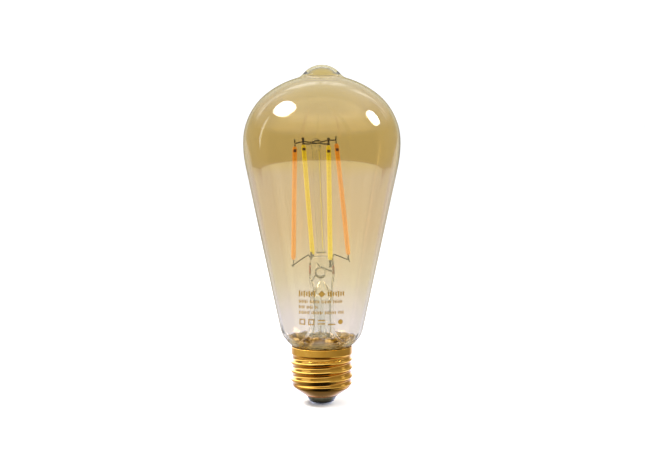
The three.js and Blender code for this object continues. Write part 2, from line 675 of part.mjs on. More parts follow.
add("board_sleeve", boardSleeve(), SLEEVE_FILM);
addDriver();
addWirelessModule();
add("live_wire", liveWire(), RED_PLASTIC);
add("neutral_wire", neutralWire(), BLACK_PLASTIC);

export default lamp;
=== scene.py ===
"""The looks of a smart filament lamp. Pieces are in millimetres, floor, lights and camera in metres."""

import math

import bmesh
import bpy
import numpy as np
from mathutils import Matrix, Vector, noise


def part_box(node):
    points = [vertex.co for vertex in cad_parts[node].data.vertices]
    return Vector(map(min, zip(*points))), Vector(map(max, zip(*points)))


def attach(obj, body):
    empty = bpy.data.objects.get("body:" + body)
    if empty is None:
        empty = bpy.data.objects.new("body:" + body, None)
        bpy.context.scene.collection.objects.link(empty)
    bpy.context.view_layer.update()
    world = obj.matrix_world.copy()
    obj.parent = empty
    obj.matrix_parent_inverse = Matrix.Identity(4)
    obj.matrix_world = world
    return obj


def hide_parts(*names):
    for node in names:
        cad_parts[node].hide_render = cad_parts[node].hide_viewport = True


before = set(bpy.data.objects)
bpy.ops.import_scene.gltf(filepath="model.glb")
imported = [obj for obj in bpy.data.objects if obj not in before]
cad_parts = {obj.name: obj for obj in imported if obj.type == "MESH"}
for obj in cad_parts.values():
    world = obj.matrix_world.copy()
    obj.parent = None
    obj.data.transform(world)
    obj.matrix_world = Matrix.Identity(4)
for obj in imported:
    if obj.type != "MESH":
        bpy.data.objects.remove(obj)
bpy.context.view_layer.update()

MM = 0.001
UP = Vector((0, 0, 1))


# ---- reading the frame


def box(node):
    """A CAD node's lowest and highest corners, in millimetres."""
    low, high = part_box(node)
    return low / MM, high / MM


def middle(node):
    low, high = box(node)
    return (low + high) / 2


def heights(node):
    """The levels of a CAD node's foot and top."""
    low, high = box(node)
    return low.z, high.z


def corners_of(node):
    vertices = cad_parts[node].data.vertices
    return np.unique(np.array([v.co for v in vertices]).round(7), axis=0) / MM


def straight(node):
    """Lower end, upper end and the three axes (along, across, through) of a straight strip, bar or rod."""
    points = corners_of(node)
    centre = points.mean(0)
    axes = np.linalg.svd(points - centre)[2]
    along = axes[0] if axes[0][2] > 0 or abs(axes[0][2]) < 0.2 else -axes[0]
    reach = (points - centre) @ along
    tolerance = 0.05 * (reach.max() - reach.min())
    low = points[reach < reach.min() + tolerance].mean(0)
    high = points[reach > reach.max() - tolerance].mean(0)
    return Vector(low), Vector(high), [Vector(along), Vector(axes[1]), Vector(axes[2])]


# ---- mesh helpers


def skin(rows, loop=False):
    """Points and faces over rows of points. Each row is a closed loop, or a single point as a pole."""
    points, faces, starts = [], [], []
    for row in rows:
        starts.append((len(points), len(row)))
        points.extend(row)
    pairs = list(zip(starts, starts[1:]))
    if loop:
        pairs.append((starts[-1], starts[0]))
    for (a, n), (b, m) in pairs:
        count = max(n, m)
        for i in range(count):
            j = (i + 1) % count
            if n == 1:
                faces.append((a, b + j, b + i))
            elif m == 1:
                faces.append((a + i, a + j, b))
            else:
                faces.append((a + i, a + j, b + j, b + i))
    if not loop:
        for a, n in (starts[0], starts[-1]):
            if n > 1:
                faces.append(tuple(range(a, a + n)))
    return points, faces


def joined(*parts):
    """Several (points, faces) as one."""
    points, faces = [], []
    for more_points, more_faces in parts:
        start = len(points)
        points.extend(more_points)
        faces.extend(tuple(i + start for i in face) for face in more_faces)
    return points, faces


def placed(name, data):
    """An object in the scene."""
    made = bpy.data.objects.new(name, data)
    bpy.context.scene.collection.objects.link(made)
    return made


def unmirrored(made):
    """Hides an object from reflections and from what glass shows."""
    made.visible_glossy = False
    made.visible_transmission = False


def piece(name, shape, material, stands_for=(), sharp=40):
    """An object made of (points, faces), in place of the CAD nodes it stands for."""
    points, faces = shape
    mesh = bpy.data.meshes.new(name)
    mesh.from_pydata([Vector(p) * MM for p in points], [], faces)
    tidy = bmesh.new()
    tidy.from_mesh(mesh)
    bmesh.ops.recalc_face_normals(tidy, faces=tidy.faces)
    tidy.to_mesh(mesh)
    tidy.free()
    mesh.shade_smooth()
    mesh.set_sharp_from_angle(angle=math.radians(sharp))
    mesh.materials.append(material)
    made = placed(name, mesh)
    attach(made, "root")
    if stands_for:
        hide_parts(*stands_for)


def polar(radius, azimuth, z):
    angle = math.radians(azimuth)
    return Vector((radius * math.cos(angle), radius * math.sin(angle), z))


def ring_rows(profile, segments, place):
    """A row of points round Z for each (radius, z) of the profile; place(radius, azimuth, z) may bend it."""
    rows = []
    for r, z in profile:
        azimuths = spread(0, 360, segments)[:-1] if r else [0]
        rows.append([place(r, azimuth, z) for azimuth in azimuths])
    return rows


def turned(profile, segments, loop=False, place=polar):
    """A solid of revolution about Z."""
    return skin(ring_rows(profile, segments, place), loop)


def on_axis(foot, head):
    """A place() for turned() whose Z runs from foot towards head."""
    turn = UP.rotation_difference((head - foot).normalized())
    return lambda radius, azimuth, z: foot + turn @ polar(radius, azimuth, z)


def arc(r, z, radius, start, end, steps):
    """Points on an arc round (r, z), with its ends in degrees."""
    angles = [math.radians(angle) for angle in spread(start, end, steps)]
    return [(r + radius * math.cos(angle), z + radius * math.sin(angle)) for angle in angles]


def smooth_path(points):
    """A Catmull-Rom curve through the points."""
    steps = 8
    points = [Vector(p) for p in points]
    ends = [2 * points[0] - points[1], *points, 2 * points[-1] - points[-2]]
    out = []
    for p0, p1, p2, p3 in zip(ends, ends[1:], ends[2:], ends[3:]):
        for i in range(steps):
            t = i / steps
            square, cube = 2 * p0 - 5 * p1 + 4 * p2 - p3, 3 * p1 - p0 - 3 * p2 + p3
            out.append(0.5 * (2 * p1 + (p2 - p0) * t + square * t**2 + cube * t**3))
    return [*out, points[-1]]


def swept(path, section, first_normal=None):
    """A section swept along a path, turning as little as it can. section(share) gives (x, y) pairs."""
    path = [Vector(p) for p in path]
    last = len(path) - 1
    tangents = [(path[min(i + 1, last)] - path[max(i - 1, 0)]).normalized() for i in range(last + 1)]
    normal = first_normal.copy() if first_normal else tangents[0].orthogonal()
    rows = []
    for i, (point, tangent) in enumerate(zip(path, tangents)):
        if i:
            normal = tangents[i - 1].rotation_difference(tangent) @ normal
        normal = (normal - tangent * normal.dot(tangent)).normalized()
        side = tangent.cross(normal)
        rows.append([point + normal * x + side * y for x, y in section(i / last)])
    return skin(rows)


def circle(radius, sides=14):
    """Section of a round wire, as (x, y) pairs."""
    turns = [2 * math.pi * i / sides for i in range(sides)]
    return [(radius * math.cos(turn), radius * math.sin(turn)) for turn in turns]


def round_wire(points, radius):
    """A round wire with domed ends."""
    path = smooth_path(points)
    ends = ((0.0, 0.35), (0.3, 0.8), (0.7, 1.0))
    first = [path[0] + (path[1] - path[0]).normalized() * radius * along for along, _ in ends]
    last = [path[-1] + (path[-2] - path[-1]).normalized() * radius * along for along, _ in ends]
    full = [*first, *path[1:-1], *reversed(last)]
    sizes = [size for _, size in ends] + [1.0] * (len(path) - 2) + [size for _, size in reversed(ends)]
    return swept(full, lambda share: circle(radius * sizes[round(share * (len(full) - 1))]))


def rounded_box(width, depth, corner, per_corner):
    """Section of a bar with rounded corners, as (x, y) pairs."""
    x, y = width / 2 - corner, depth / 2 - corner
    out = []
    for cx, cy, start in ((x, y, 0), (-x, y, 90), (-x, -y, 180), (x, -y, 270)):
        out.extend(arc(cx, cy, corner, start, start + 90, per_corner))
    return out


def brick(node, bevel):
    """A block with rounded edges in a CAD node's place."""
    low, high = box(node)
    centre, size = (low + high) / 2, high - low
    rows, steps = [], 3
    for end in (-1, 1):
        for i in range(steps + 1):
            angle = math.radians(90 * i / steps)
            out, up = (math.sin(angle), math.cos(angle)) if end < 0 else (math.cos(angle), math.sin(angle))
            shrink = bevel * (1 - out)
            z = low.z + bevel * (1 - up) if end < 0 else high.z - bevel * (1 - up)
            pairs = rounded_box(size.x - 2 * shrink, size.y - 2 * shrink, max(bevel - shrink, 0.02), steps)
            rows.append([Vector((centre.x + x, centre.y + y, z)) for x, y in pairs])
    return skin(rows)


def smoothstep(value, low, high):
    t = min(max((value - low) / (high - low), 0), 1)
    return t * t * (3 - 2 * t)


def spread(start, end, steps):
    """Evenly spaced numbers or points from start to end."""
    return [start + (end - start) * i / steps for i in range(steps + 1)]


def column(r, low, high, steps):
    """Points of a profile that runs straight from one height to another."""
    return [(r, z) for z in spread(low, high, steps)]


def bell(value, centre, width):
    """1 at the centre, falling away smoothly to each side."""
    return math.exp(-((value - centre) / width) ** 2)


# ---- node helpers


def is_output(value):
    return isinstance(value, bpy.types.NodeSocket)


def plug(socket, value):
    """Links another node's output to the socket, or sets the socket to a number or a colour."""
    if is_output(value):
        socket.id_data.links.new(value, socket)
    else:
        socket.default_value = value


def feed(node, **inputs):
    """Fills inputs by name, with _ for a space, or by number as _0, _1 and so on."""
    for key, value in inputs.items():
        plug(node.inputs[int(key[1:]) if key[0] == "_" else key.replace("_", " ")], value)


def put(kind, settings=None, tree=None, **inputs):
    """A shader node with settings, in the tree that its inputs come from if none is given."""
    tree = tree or next(value.id_data for value in inputs.values() if is_output(value))
    made = tree.nodes.new(f"ShaderNode{kind}")
    for key, value in (settings or {}).items():
        setattr(made, key, value)
    feed(made, **inputs)
    return made


def maths(operation, *values, clamp=False):
    inputs = {f"_{i}": value for i, value in enumerate(values)}
    return put("Math", {"operation": operation, "use_clamp": clamp}, **inputs).outputs[0]


def times(first, second, clamp=False):
    return maths("MULTIPLY", first, second, clamp=clamp)


def plus(first, second):
    return maths("ADD", first, second)


def minus(first, second):
    return maths("SUBTRACT", first, second)


def larger(first, second):
    return maths("MAXIMUM", first, second)


def absolute(value):
    return maths("ABSOLUTE", value)


def ranged(value, low, high, to_low=0.0, to_high=1.0, kind="LINEAR"):
    inputs = {"_0": value, "_1": low, "_2": high, "_3": to_low, "_4": to_high}
    return put("MapRange", {"interpolation_type": kind}, **inputs).outputs[0]


def eased(value, low, high, to_low=0.0, to_high=1.0):
    return ranged(value, low, high, to_low, to_high, "SMOOTHSTEP")


def varied(noise_value, low, high):
    """A number that wanders between low and high as the noise does."""
    return ranged(noise_value, 0.3, 0.7, low, high)


def mixed(share, first, second):
    """A number that goes from first to second as share goes from 0 to 1."""
    return ranged(share, 0.0, 1.0, first, second)


def colours(value, stops):
    """A colour ramp. Each stop is (position, (red, green, blue))."""
    made = put("ValToRGB", _0=value)
    elements = made.color_ramp.elements
    while len(elements) < len(stops):
        elements.new(0.5)
    for element, (position, colour) in zip(elements, stops):
        element.position = position
        element.color = (*colour, 1)
    return made.outputs[0]


def blended(share, first, second):
    """A colour that goes from first to second."""
    first, second = [value if is_output(value) else (*value, 1) for value in (first, second)]
    settings = {"data_type": "RGBA", "clamp_factor": True}
    return put("Mix", settings, _0=share, _6=first, _7=second).outputs[2]


def combined(x, y):
    return put("CombineXYZ", _0=x, _1=y).outputs[0]


def facing(shader):
    return put("LayerWeight", tree=shader.id_data, Blend=0.5).outputs["Facing"]


def speckle(vector, scale, detail=3.0, roughness=0.55, distortion=0.0):
    return put("TexNoise", Vector=vector, Scale=scale, Detail=detail, Roughness=roughness,
               Distortion=distortion).outputs["Fac"]


def stretched(vector, x, y, z):
    return put("Mapping", Vector=vector, Scale=(x, y, z)).outputs[0]


def bumped(height, strength, distance):
    return put("Bump", Height=height, Strength=strength, Distance=distance * MM).outputs[0]


def new_material(name):
    """A material, its shader, and the piece's own place in millimetres: the vector, X, Y and Z."""
    material = bpy.data.materials.new(name)
    material.use_nodes = True
    tree = material.node_tree
    place = put("TexCoord", tree=tree).outputs["Object"]
    scaled = put("VectorMath", {"operation": "SCALE"}, _0=place, Scale=1 / MM).outputs[0]
    apart = put("SeparateXYZ", _0=scaled).outputs
    return material, tree.nodes["Principled BSDF"], (scaled, apart[0], apart[1], apart[2])


def let_light_through(shader, tint):
    """Lamps and diffuse light pass straight through the glass, tinted, in place of caustics."""
    tree = shader.id_data
    path = put("LightPath", tree=tree).outputs
    straight_on = larger(path["Is Shadow Ray"], path["Is Diffuse Ray"])
    open_glass = put("BsdfTransparent", tree=tree, Color=tint)
    mix = put("MixShader", _0=straight_on, _1=shader.outputs[0], _2=open_glass.outputs[0])
    feed(tree.nodes["Material Output"], Surface=mix.outputs[0])


# ---- materials

WHITE = (1.0, 1.0, 1.0)
SEAL_TOP_Z, FLARE_SEAL_Z = 27.8, 28.6
# Gold tint for the glass's reflections near the cap: a painted reflection of the gold cap.
CAP_GOLD_REFLECTION = (0.62, 0.38, 0.08)
CHIP_PITCH = 1.66
BLOW_X, BLOW_Z, BLOW_RADIUS = -0.5, 55.4, 2.1
# Each ridge is (start, end, height, width), with its ends measured from the blown hole's centre.
PRESS_RIDGES = (
    ((0.6, 2.3), (4.3, 0.7), 0.7, 0.36),
    ((-1.7, 4.2), (-0.3, 2.3), 0.4, 0.24),
    ((-2.4, -1.4), (-3.6, -3.4), 0.35, 0.26),
)


def seal_zone(vector, z, top):
    """Share, colour and lumps of the melted glass where bulb and stem are fused together; the mottled
    brown-gold colour with pale specks is a painted reflection of the gold cap.
    """
    lumps = speckle(vector, 0.42, 3.0, 0.55, 0.5)
    height = plus(z, varied(speckle(vector, 0.25, 2.0), -0.6, 0.6))
    worked = eased(height, top - 0.4, top + 0.3, 1.0, 0.0)
    cap_reflection_mottle = colours(lumps, [(0.40, (0.05, 0.02, 0.001)), (0.47, (0.15, 0.075, 0.003)),
                              (0.56, (0.26, 0.145, 0.008)), (0.66, (0.85, 0.60, 0.20))])
    return worked, cap_reflection_mottle, lumps


def feed_glass(shader, tint, cap_reflection_share, cap_gold_share, normal):
    """Tinted glass, made dull and opaque where it carries the painted reflection of the gold cap, and with
    its reflections painted gold near the cap.
    """
    feed(shader, Base_Color=tint, IOR=1.5, Roughness=times(cap_reflection_share, 0.25), Normal=normal,
         Transmission_Weight=minus(1.0, times(cap_reflection_share, 0.88)),
         Specular_Tint=blended(cap_gold_share, WHITE, CAP_GOLD_REFLECTION))
    let_light_through(shader, blended(0.5, tint, WHITE))


def amber_glass():
    """Amber tint that fades from the dome down to the neck."""
    material, shader, (vector, _, y, z) = new_material("amber_glass")
    height = plus(z, varied(speckle(vector, 0.03, 2.0), -3.0, 3.0))
    tint = colours(ranged(height, 24.0, 144.0), [
        (0.0, (0.82, 0.77, 0.76)),
        (0.10, (0.815, 0.76, 0.75)),
        (0.24, (0.765, 0.68, 0.53)),
        (0.42, (0.73, 0.60, 0.415)),
        (0.60, (0.70, 0.58, 0.415)),
        (0.65, (0.70, 0.57, 0.30)),
        (0.84, (0.71, 0.59, 0.31)),
        (1.0, (0.76, 0.66, 0.27)),
    ])
    # On the back of the neck, where it is fused, the glass turns dull and carries the painted reflection of
    # the gold cap.
    worked, cap_reflection_mottle, lumps = seal_zone(vector, z, SEAL_TOP_Z)
    cap_reflection_share = times(worked, eased(y, -6.0, -1.0))
    # Painted shade at the neck's foot, just over the cap's rim, tinted with the cap's gold.
    tint = blended(eased(z, 26.0, 29.2, 0.95, 0.0), tint, (0.64, 0.54, 0.27))
    feed_glass(shader, blended(cap_reflection_share, tint, cap_reflection_mottle), cap_reflection_share, ranged(z, 30.2, 31.2, 1.0, 0.0),
               bumped(times(lumps, worked), 0.5, 0.5))
    return material


def near_segment(x, z, start, end, width):
    """1 on a segment in the XZ plane, 0 beyond a width from it."""
    run = Vector((end[0] - start[0], end[1] - start[1]))
    length = run.length
    run.normalize()
    from_x, from_z = minus(x, start[0]), minus(z, start[1])
    along = plus(times(from_x, run.x), times(from_z, run.y))
    across = minus(times(from_x, run.y), times(from_z, run.x))
    past = minus(absolute(minus(along, length / 2)), length / 2)
    return eased(larger(absolute(across), past), width * 0.4, width, 1.0, 0.0)


def press_painted_shade(x, y, z):
    """Painted shade on the press front, deeper to the lower left: along the blown hole's lip, and along the
    ridges pinched beside it.
    """
    to_x, to_z = minus(x, BLOW_X), minus(z, BLOW_Z)
    distance = maths("SQRT", plus(maths("POWER", to_x, 2.0), maths("POWER", to_z, 2.0)))
    off_lip = absolute(minus(distance, BLOW_RADIUS))
    low_left = times(plus(to_x, to_z), -1.0)
    lip_and_ridge_shade = times(eased(off_lip, 0.22, 0.52, 1.0, 0.0), ranged(low_left, -2.2, 1.2, 0.25, 0.95))
    for start, end, _, width in PRESS_RIDGES:
        ends = [(BLOW_X + px, BLOW_Z + pz) for px, pz in (start, end)]
        lip_and_ridge_shade = larger(lip_and_ridge_shade, times(near_segment(x, z, *ends, 1.5 * width), 0.9))
    broken = ranged(speckle(combined(x, z), 0.9, 2.0), 0.35, 0.55, 0.25, 1.0)
    lip_and_ridge_shade = times(times(lip_and_ridge_shade, broken), 1.7, clamp=True)
    return times(lip_and_ridge_shade, maths("LESS_THAN", y, 0.0))


def clear_glass():
    """Stem glass, with faint draw lines, and painted shade along its edges where it is seen edge-on."""
    material, shader, (vector, x, y, z) = new_material("clear_glass")
    lines = speckle(stretched(vector, 1.2, 1.2, 0.08), 0.9, 2.0)
    tint = colours(speckle(vector, 0.2, 2.0), [(0.3, (0.93, 0.95, 0.93)), (0.7, (0.97, 0.98, 0.97))])
    # Painted shade along the edges seen edge-on, stronger up on the press.
    rim = times(eased(facing(shader), 0.36, 0.80), eased(z, 51.0, 54.0, 0.12, 0.85))
    tint = blended(rim, tint, (0.05, 0.035, 0.015))
    # Painted shade along the press's lip and ridges.
    tint = blended(press_painted_shade(x, y, z), tint, (0.025, 0.015, 0.004))
    # Round the flare's foot the glass turns dull and carries the painted reflection of the gold cap, faintly
    # on the front.
    worked, cap_reflection_mottle, lumps = seal_zone(vector, z, FLARE_SEAL_Z)
    cap_reflection_share = times(worked, eased(y, -11.0, -6.0, 0.3, 1.0))
    lines = plus(lines, times(times(lumps, worked), 5.0))
    feed_glass(shader, blended(cap_reflection_share, tint, cap_reflection_mottle), cap_reflection_share, ranged(z, 30.0, 32.0, 1.0, 0.0),
               bumped(lines, 0.2, 0.2))
    return material


def phosphor(name, deep, body, pale, painted_glow):
    """Phosphor silicone with a faint painted glow, over a row of chips, which show faintly. Its colour
    deepens and its glow weakens at both ends.
    """
    material, shader, (vector, _, _, z) = new_material(name)
    grain = speckle(vector, 2.6, 4.0)
    chips = maths("SINE", times(z, 2 * math.pi / CHIP_PITCH))
    base = colours(plus(grain, times(chips, 0.07)), [(0.3, deep), (0.5, body), (0.72, pale)])
    foot_z, top_z = heights("cool_filament_front")
    upper, lower = eased(z, top_z - 9, top_z + 0.5), eased(z, foot_z + 3, foot_z - 0.5)
    ends = larger(upper, times(lower, 0.6))
    colour = blended(times(ends, 0.4), base, deep)
    pad = eased(absolute(minus(z, top_z - 2.3)), 0.45, 0.75, 0.97, 0.0)
    pad = times(pad, eased(facing(shader), 0.15, 0.40, 1.0, 0.0))
    colour = blended(pad, colour, (0.05, 0.016, 0.003))
    # The emission is a painted glow, weaker at both ends.
    feed(shader, Base_Color=colour, Roughness=varied(grain, 0.45, 0.6), Emission_Color=colour,
         Emission_Strength=mixed(ends, painted_glow, painted_glow * 0.55), Specular_IOR_Level=0.15,
         Normal=bumped(plus(grain, times(chips, 0.4)), 0.35, 0.08))
    return material


def metal(name, dark, body, bright, rough, scale):
    """Metal whose colour and roughness vary in soft patches, with a fine grain."""
    material, shader, (vector, *_) = new_material(name)
    patches = speckle(vector, scale, 4.0, 0.6)
    tone = colours(patches, [(0.28, dark), (0.5, body), (0.75, bright)])
    feed(shader, Base_Color=tone, Metallic=1.0, Roughness=varied(patches, rough[1], rough[0]),
         Normal=bumped(speckle(vector, scale * 9), 0.4, 0.05))
    return material


def gold():
    """Gold-tone rolled sheet, with roll marks round the cap and painted shade down in the thread's grooves.
    """
    material, shader, (vector, x, y, z) = new_material("gold_sheet")
    marks = speckle(stretched(vector, 0.25, 0.25, 3.0), 1.6, 4.0, 0.6)
    patches = speckle(vector, 0.22, 3.0, 0.6, 0.6)
    radius = maths("SQRT", plus(times(x, x), times(y, y)))
    # Painted shade down in the thread's roots, below the collar.
    groove_shade = times(eased(radius, 12.15, 12.75, 1.0, 0.0), ranged(z, 20.6, 20.0))
    stops = [(0.3, (0.86, 0.42, 0.05)), (0.55, (0.92, 0.48, 0.07)), (0.8, (0.95, 0.53, 0.10))]
    body = colours(patches, stops)
    feed(shader, Base_Color=blended(times(groove_shade, 0.55), body, (0.38, 0.14, 0.012)), Metallic=1.0,
         Roughness=varied(marks, 0.06, 0.12), Normal=bumped(marks, 0.25, 0.03))
    return material


def solid(name, dark, light, rough, scale, bump):
    """An opaque material with mottled colour, uneven roughness and a fine grain."""
    material, shader, (vector, *_) = new_material(name)
    grain = speckle(vector, scale, 4.0, 0.6)
    feed(shader, Base_Color=colours(grain, [(0.3, dark), (0.7, light)]), Roughness=varied(grain, *rough),
         Normal=bumped(grain, 0.5, bump))
    return material


def black_glass():
    """Poured dark olive glass, lighter towards its top as a painted reflection, and black at its foot."""
    material, shader, (vector, _, _, z) = new_material("black_glass")
    swirl = speckle(vector, 0.5, 3.0, 0.5, 1.2)
    foot_z = box("cap_insulator")[0].z
    # Painted reflection: lighter towards the top, darkening to black at the foot.
    share = ranged(plus(z, varied(swirl, -0.25, 0.25)), foot_z, foot_z + 3.4)
    stops = [(0.0, (0.008, 0.007, 0.005)), (0.5, (0.065, 0.06, 0.038)), (1.0, (0.25, 0.22, 0.14))]
    feed(shader, Base_Color=colours(share, stops), Roughness=varied(swirl, 0.12, 0.22), IOR=1.55,
         Normal=bumped(swirl, 0.3, 0.12))
    return material


AMBER_GLASS = amber_glass()
CLEAR_GLASS = clear_glass()
WARM = phosphor("warm_phosphor", (0.55, 0.18, 0.001), (0.67, 0.30, 0.002), (0.74, 0.35, 0.004), 0.27)
COOL = phosphor("cool_phosphor", (0.52, 0.40, 0.001), (0.65, 0.57, 0.002), (0.73, 0.65, 0.005), 0.32)
GOLD = gold()
BLACK_GLASS = black_glass()
NICKEL = metal("nickel_wire", (0.03, 0.02, 0.006), (0.085, 0.06, 0.018), (0.2, 0.15, 0.07), (0.25, 0.42), 1.4)
DUMET = metal("dumet_wire", (0.45, 0.16, 0.10), (0.62, 0.25, 0.15), (0.72, 0.34, 0.22), (0.25, 0.4), 1.6)
SOLDER = metal("solder", (0.38, 0.37, 0.34), (0.58, 0.57, 0.54), (0.74, 0.73, 0.70), (0.25, 0.45), 0.6)
TINNED = metal("tinned_wire", (0.45, 0.43, 0.38), (0.66, 0.63, 0.57), (0.8, 0.78, 0.73), (0.2, 0.35), 1.4)
CEMENT = solid("cement", (0.20, 0.11, 0.03), (0.52, 0.36, 0.14), (0.6, 0.9), 0.7, 0.4)
INK = solid("amber_ink", (0.27, 0.14, 0.004), (0.35, 0.20, 0.01), (0.4, 0.6), 1.5, 0.02)


# ---- glass bulb

GLASS_FOOT, LAMP_TOP = heights("glass_envelope")
BULB_RADIUS = box("glass_envelope")[1].x
WALL = 0.9
EQUATOR_Z = 109.2
CROWN_RADIUS, CROWN_Z = 37.1, 100.0
NUB_RADIUS, NUB_FILLET = 10.0, 5.0
BELLY_RADIUS = 48.8
CONE_ANGLE, CONE_END_Z = 11.8, 32.0
SHOULDER_RADIUS, SHOULDER_END = 12.0, 55.0
NECK_RADIUS = 11.0
WAVE = 0.05
WORKED_RADIUS, WORKED_Z, NECK_TOP_Z = 17.5, 26, 40


def bulb_outline(inset, nub_extra=0.0):
    """Half outline of the glass from the neck's lower end to the nub's tip, moved inwards by inset."""
    rise = EQUATOR_Z - CROWN_Z
    equator_radius = (CROWN_RADIUS**2 - BULB_RADIUS**2 - rise**2) / (2 * (CROWN_RADIUS - BULB_RADIUS))
    equator_r = BULB_RADIUS - equator_radius
    crown_start = math.degrees(math.atan2(rise, equator_r))
    nub_z = LAMP_TOP - NUB_RADIUS
    to_nub, to_crown, apart = NUB_RADIUS + NUB_FILLET, CROWN_RADIUS + NUB_FILLET, nub_z - CROWN_Z
    fillet_z = CROWN_Z + (to_crown**2 - to_nub**2 + apart**2) / (2 * apart)
    fillet_r = math.sqrt(to_nub**2 - (fillet_z - nub_z) ** 2)
    crown_end = math.degrees(math.atan2(fillet_z - CROWN_Z, fillet_r))
    nub_start = math.degrees(math.atan2(fillet_z - nub_z, fillet_r))
    belly_r = BULB_RADIUS - BELLY_RADIUS
    cone = math.radians(CONE_ANGLE)
    cone_top_r = belly_r + BELLY_RADIUS * math.cos(cone)
    cone_top_z = EQUATOR_Z - BELLY_RADIUS * math.sin(cone)
    cone_end_r = cone_top_r - (cone_top_z - CONE_END_Z) * math.tan(cone)
    shoulder_r = cone_end_r - SHOULDER_RADIUS * math.cos(cone)
    shoulder_z = CONE_END_Z + SHOULDER_RADIUS * math.sin(cone)
    end = math.radians(SHOULDER_END)
    end_r = shoulder_r + SHOULDER_RADIUS * math.cos(end)
    neck_fillet = (end_r - NECK_RADIUS) / (1 - math.cos(end))
    neck_z = shoulder_z - SHOULDER_RADIUS * math.sin(end) - neck_fillet * math.sin(end)
    shoulder = arc(shoulder_r, shoulder_z, SHOULDER_RADIUS - inset, -SHOULDER_END, -CONE_ANGLE, 14)
    belly = arc(belly_r, EQUATOR_Z, BELLY_RADIUS - inset, -CONE_ANGLE, 0, 10)
    (r0, z0), (r1, z1) = shoulder[-1], belly[0]
    return [
        (NECK_RADIUS - inset, GLASS_FOOT),
        *arc(NECK_RADIUS + neck_fillet, neck_z, neck_fillet + inset, 180, 180 - SHOULDER_END, 8),
        *shoulder[1:],
        *list(zip(spread(r0, r1, 16), spread(z0, z1, 16)))[1:-1],
        *belly,
        *arc(equator_r, EQUATOR_Z, equator_radius - inset, 0, crown_start, 18)[1:],
        *arc(0, CROWN_Z, CROWN_RADIUS - inset, crown_start, crown_end, 14)[1:],
        *arc(fillet_r, fillet_z, NUB_FILLET + inset, crown_end - 180, nub_start - 180, 8)[1:],
        *arc(0, nub_z - nub_extra, NUB_RADIUS - inset, nub_start, 90, 8)[1:-1],
        (0.0, LAMP_TOP - inset - nub_extra),
    ]


OUTLINE = bulb_outline(0.0)


def bulb_glass():
    """Blown glass: the outside is a little wavy, and the inside is uneven near the neck, worked hot."""

    def blown(radius, azimuth, z):
        spot = polar(radius, azimuth, z)
        calm = smoothstep(LAMP_TOP - z, 2, 14) * smoothstep(z, GLASS_FOOT, NECK_TOP_Z)
        drift = WAVE * calm * noise.noise(spot * 0.045 + Vector((3.1, 0.4, 7.7)))
        return polar(radius - WAVE + drift, azimuth, z) if radius else spot

    def worked(radius, azimuth, z):
        spot = polar(radius, azimuth, z)
        near_neck = smoothstep(z, NECK_TOP_Z, WORKED_Z) if 0 < radius < WORKED_RADIUS else 0
        return polar(radius + 0.12 * noise.noise(spot * 0.35) * near_neck, azimuth, z)

    rows = ring_rows(bulb_outline(WALL, 0.25)[::-1], 256, worked) + ring_rows(OUTLINE, 256, blown)
    return skin(rows)


piece("bulb_glass", bulb_glass(), AMBER_GLASS, ["glass_envelope"], sharp=60)


# ---- screw shell

CREST_RADIUS = 26.05 / 2
PITCH = 25.4 / 7
THREAD_ARC = 1.025
FLANK = math.radians(37.6)
CREST_Z_AT_X = 19.4
THREAD_TOP, THREAD_FOOT, THREAD_FADE = 20.6, 7.6, 1.6
COLLAR_RADIUS = 12.8
SHELL_FOOT_Z, RIM_Z = heights("cap_shell")
SHELL_FOOT_RADIUS = 6.9
TAPER_TOP_Z = 7.4
SHEET = 0.35
GAP = 0.12


def thread_height(from_crest):
    """Height above the root at a distance along the axis from a crest: arcs joined by straight flanks."""
    quarter = PITCH / 4
    slope = math.tan(FLANK)
    arc_run = THREAD_ARC * math.sin(FLANK)
    arc_drop = THREAD_ARC * (1 - math.cos(FLANK))
    half_depth = arc_drop + (quarter - arc_run) * slope
    from_level = min(from_crest, 2 * quarter - from_crest)
    if from_level < arc_run:
        drop = THREAD_ARC - math.sqrt(THREAD_ARC**2 - from_level**2)
    else:
        drop = arc_drop + (from_level - arc_run) * slope
    return 2 * half_depth - drop if from_crest < quarter else drop


ROOT_RADIUS = CREST_RADIUS - thread_height(0)


def thread_at(azimuth, z):
    """Height of the right-hand thread above the root, which fades out at both ends."""
    turns = (z - CREST_Z_AT_X) / PITCH - azimuth / 360
    from_crest = abs(turns - round(turns)) * PITCH
    inside = min(z - THREAD_FOOT, THREAD_TOP - z) / THREAD_FADE
    return thread_height(from_crest) * smoothstep(inside, 0, 1)


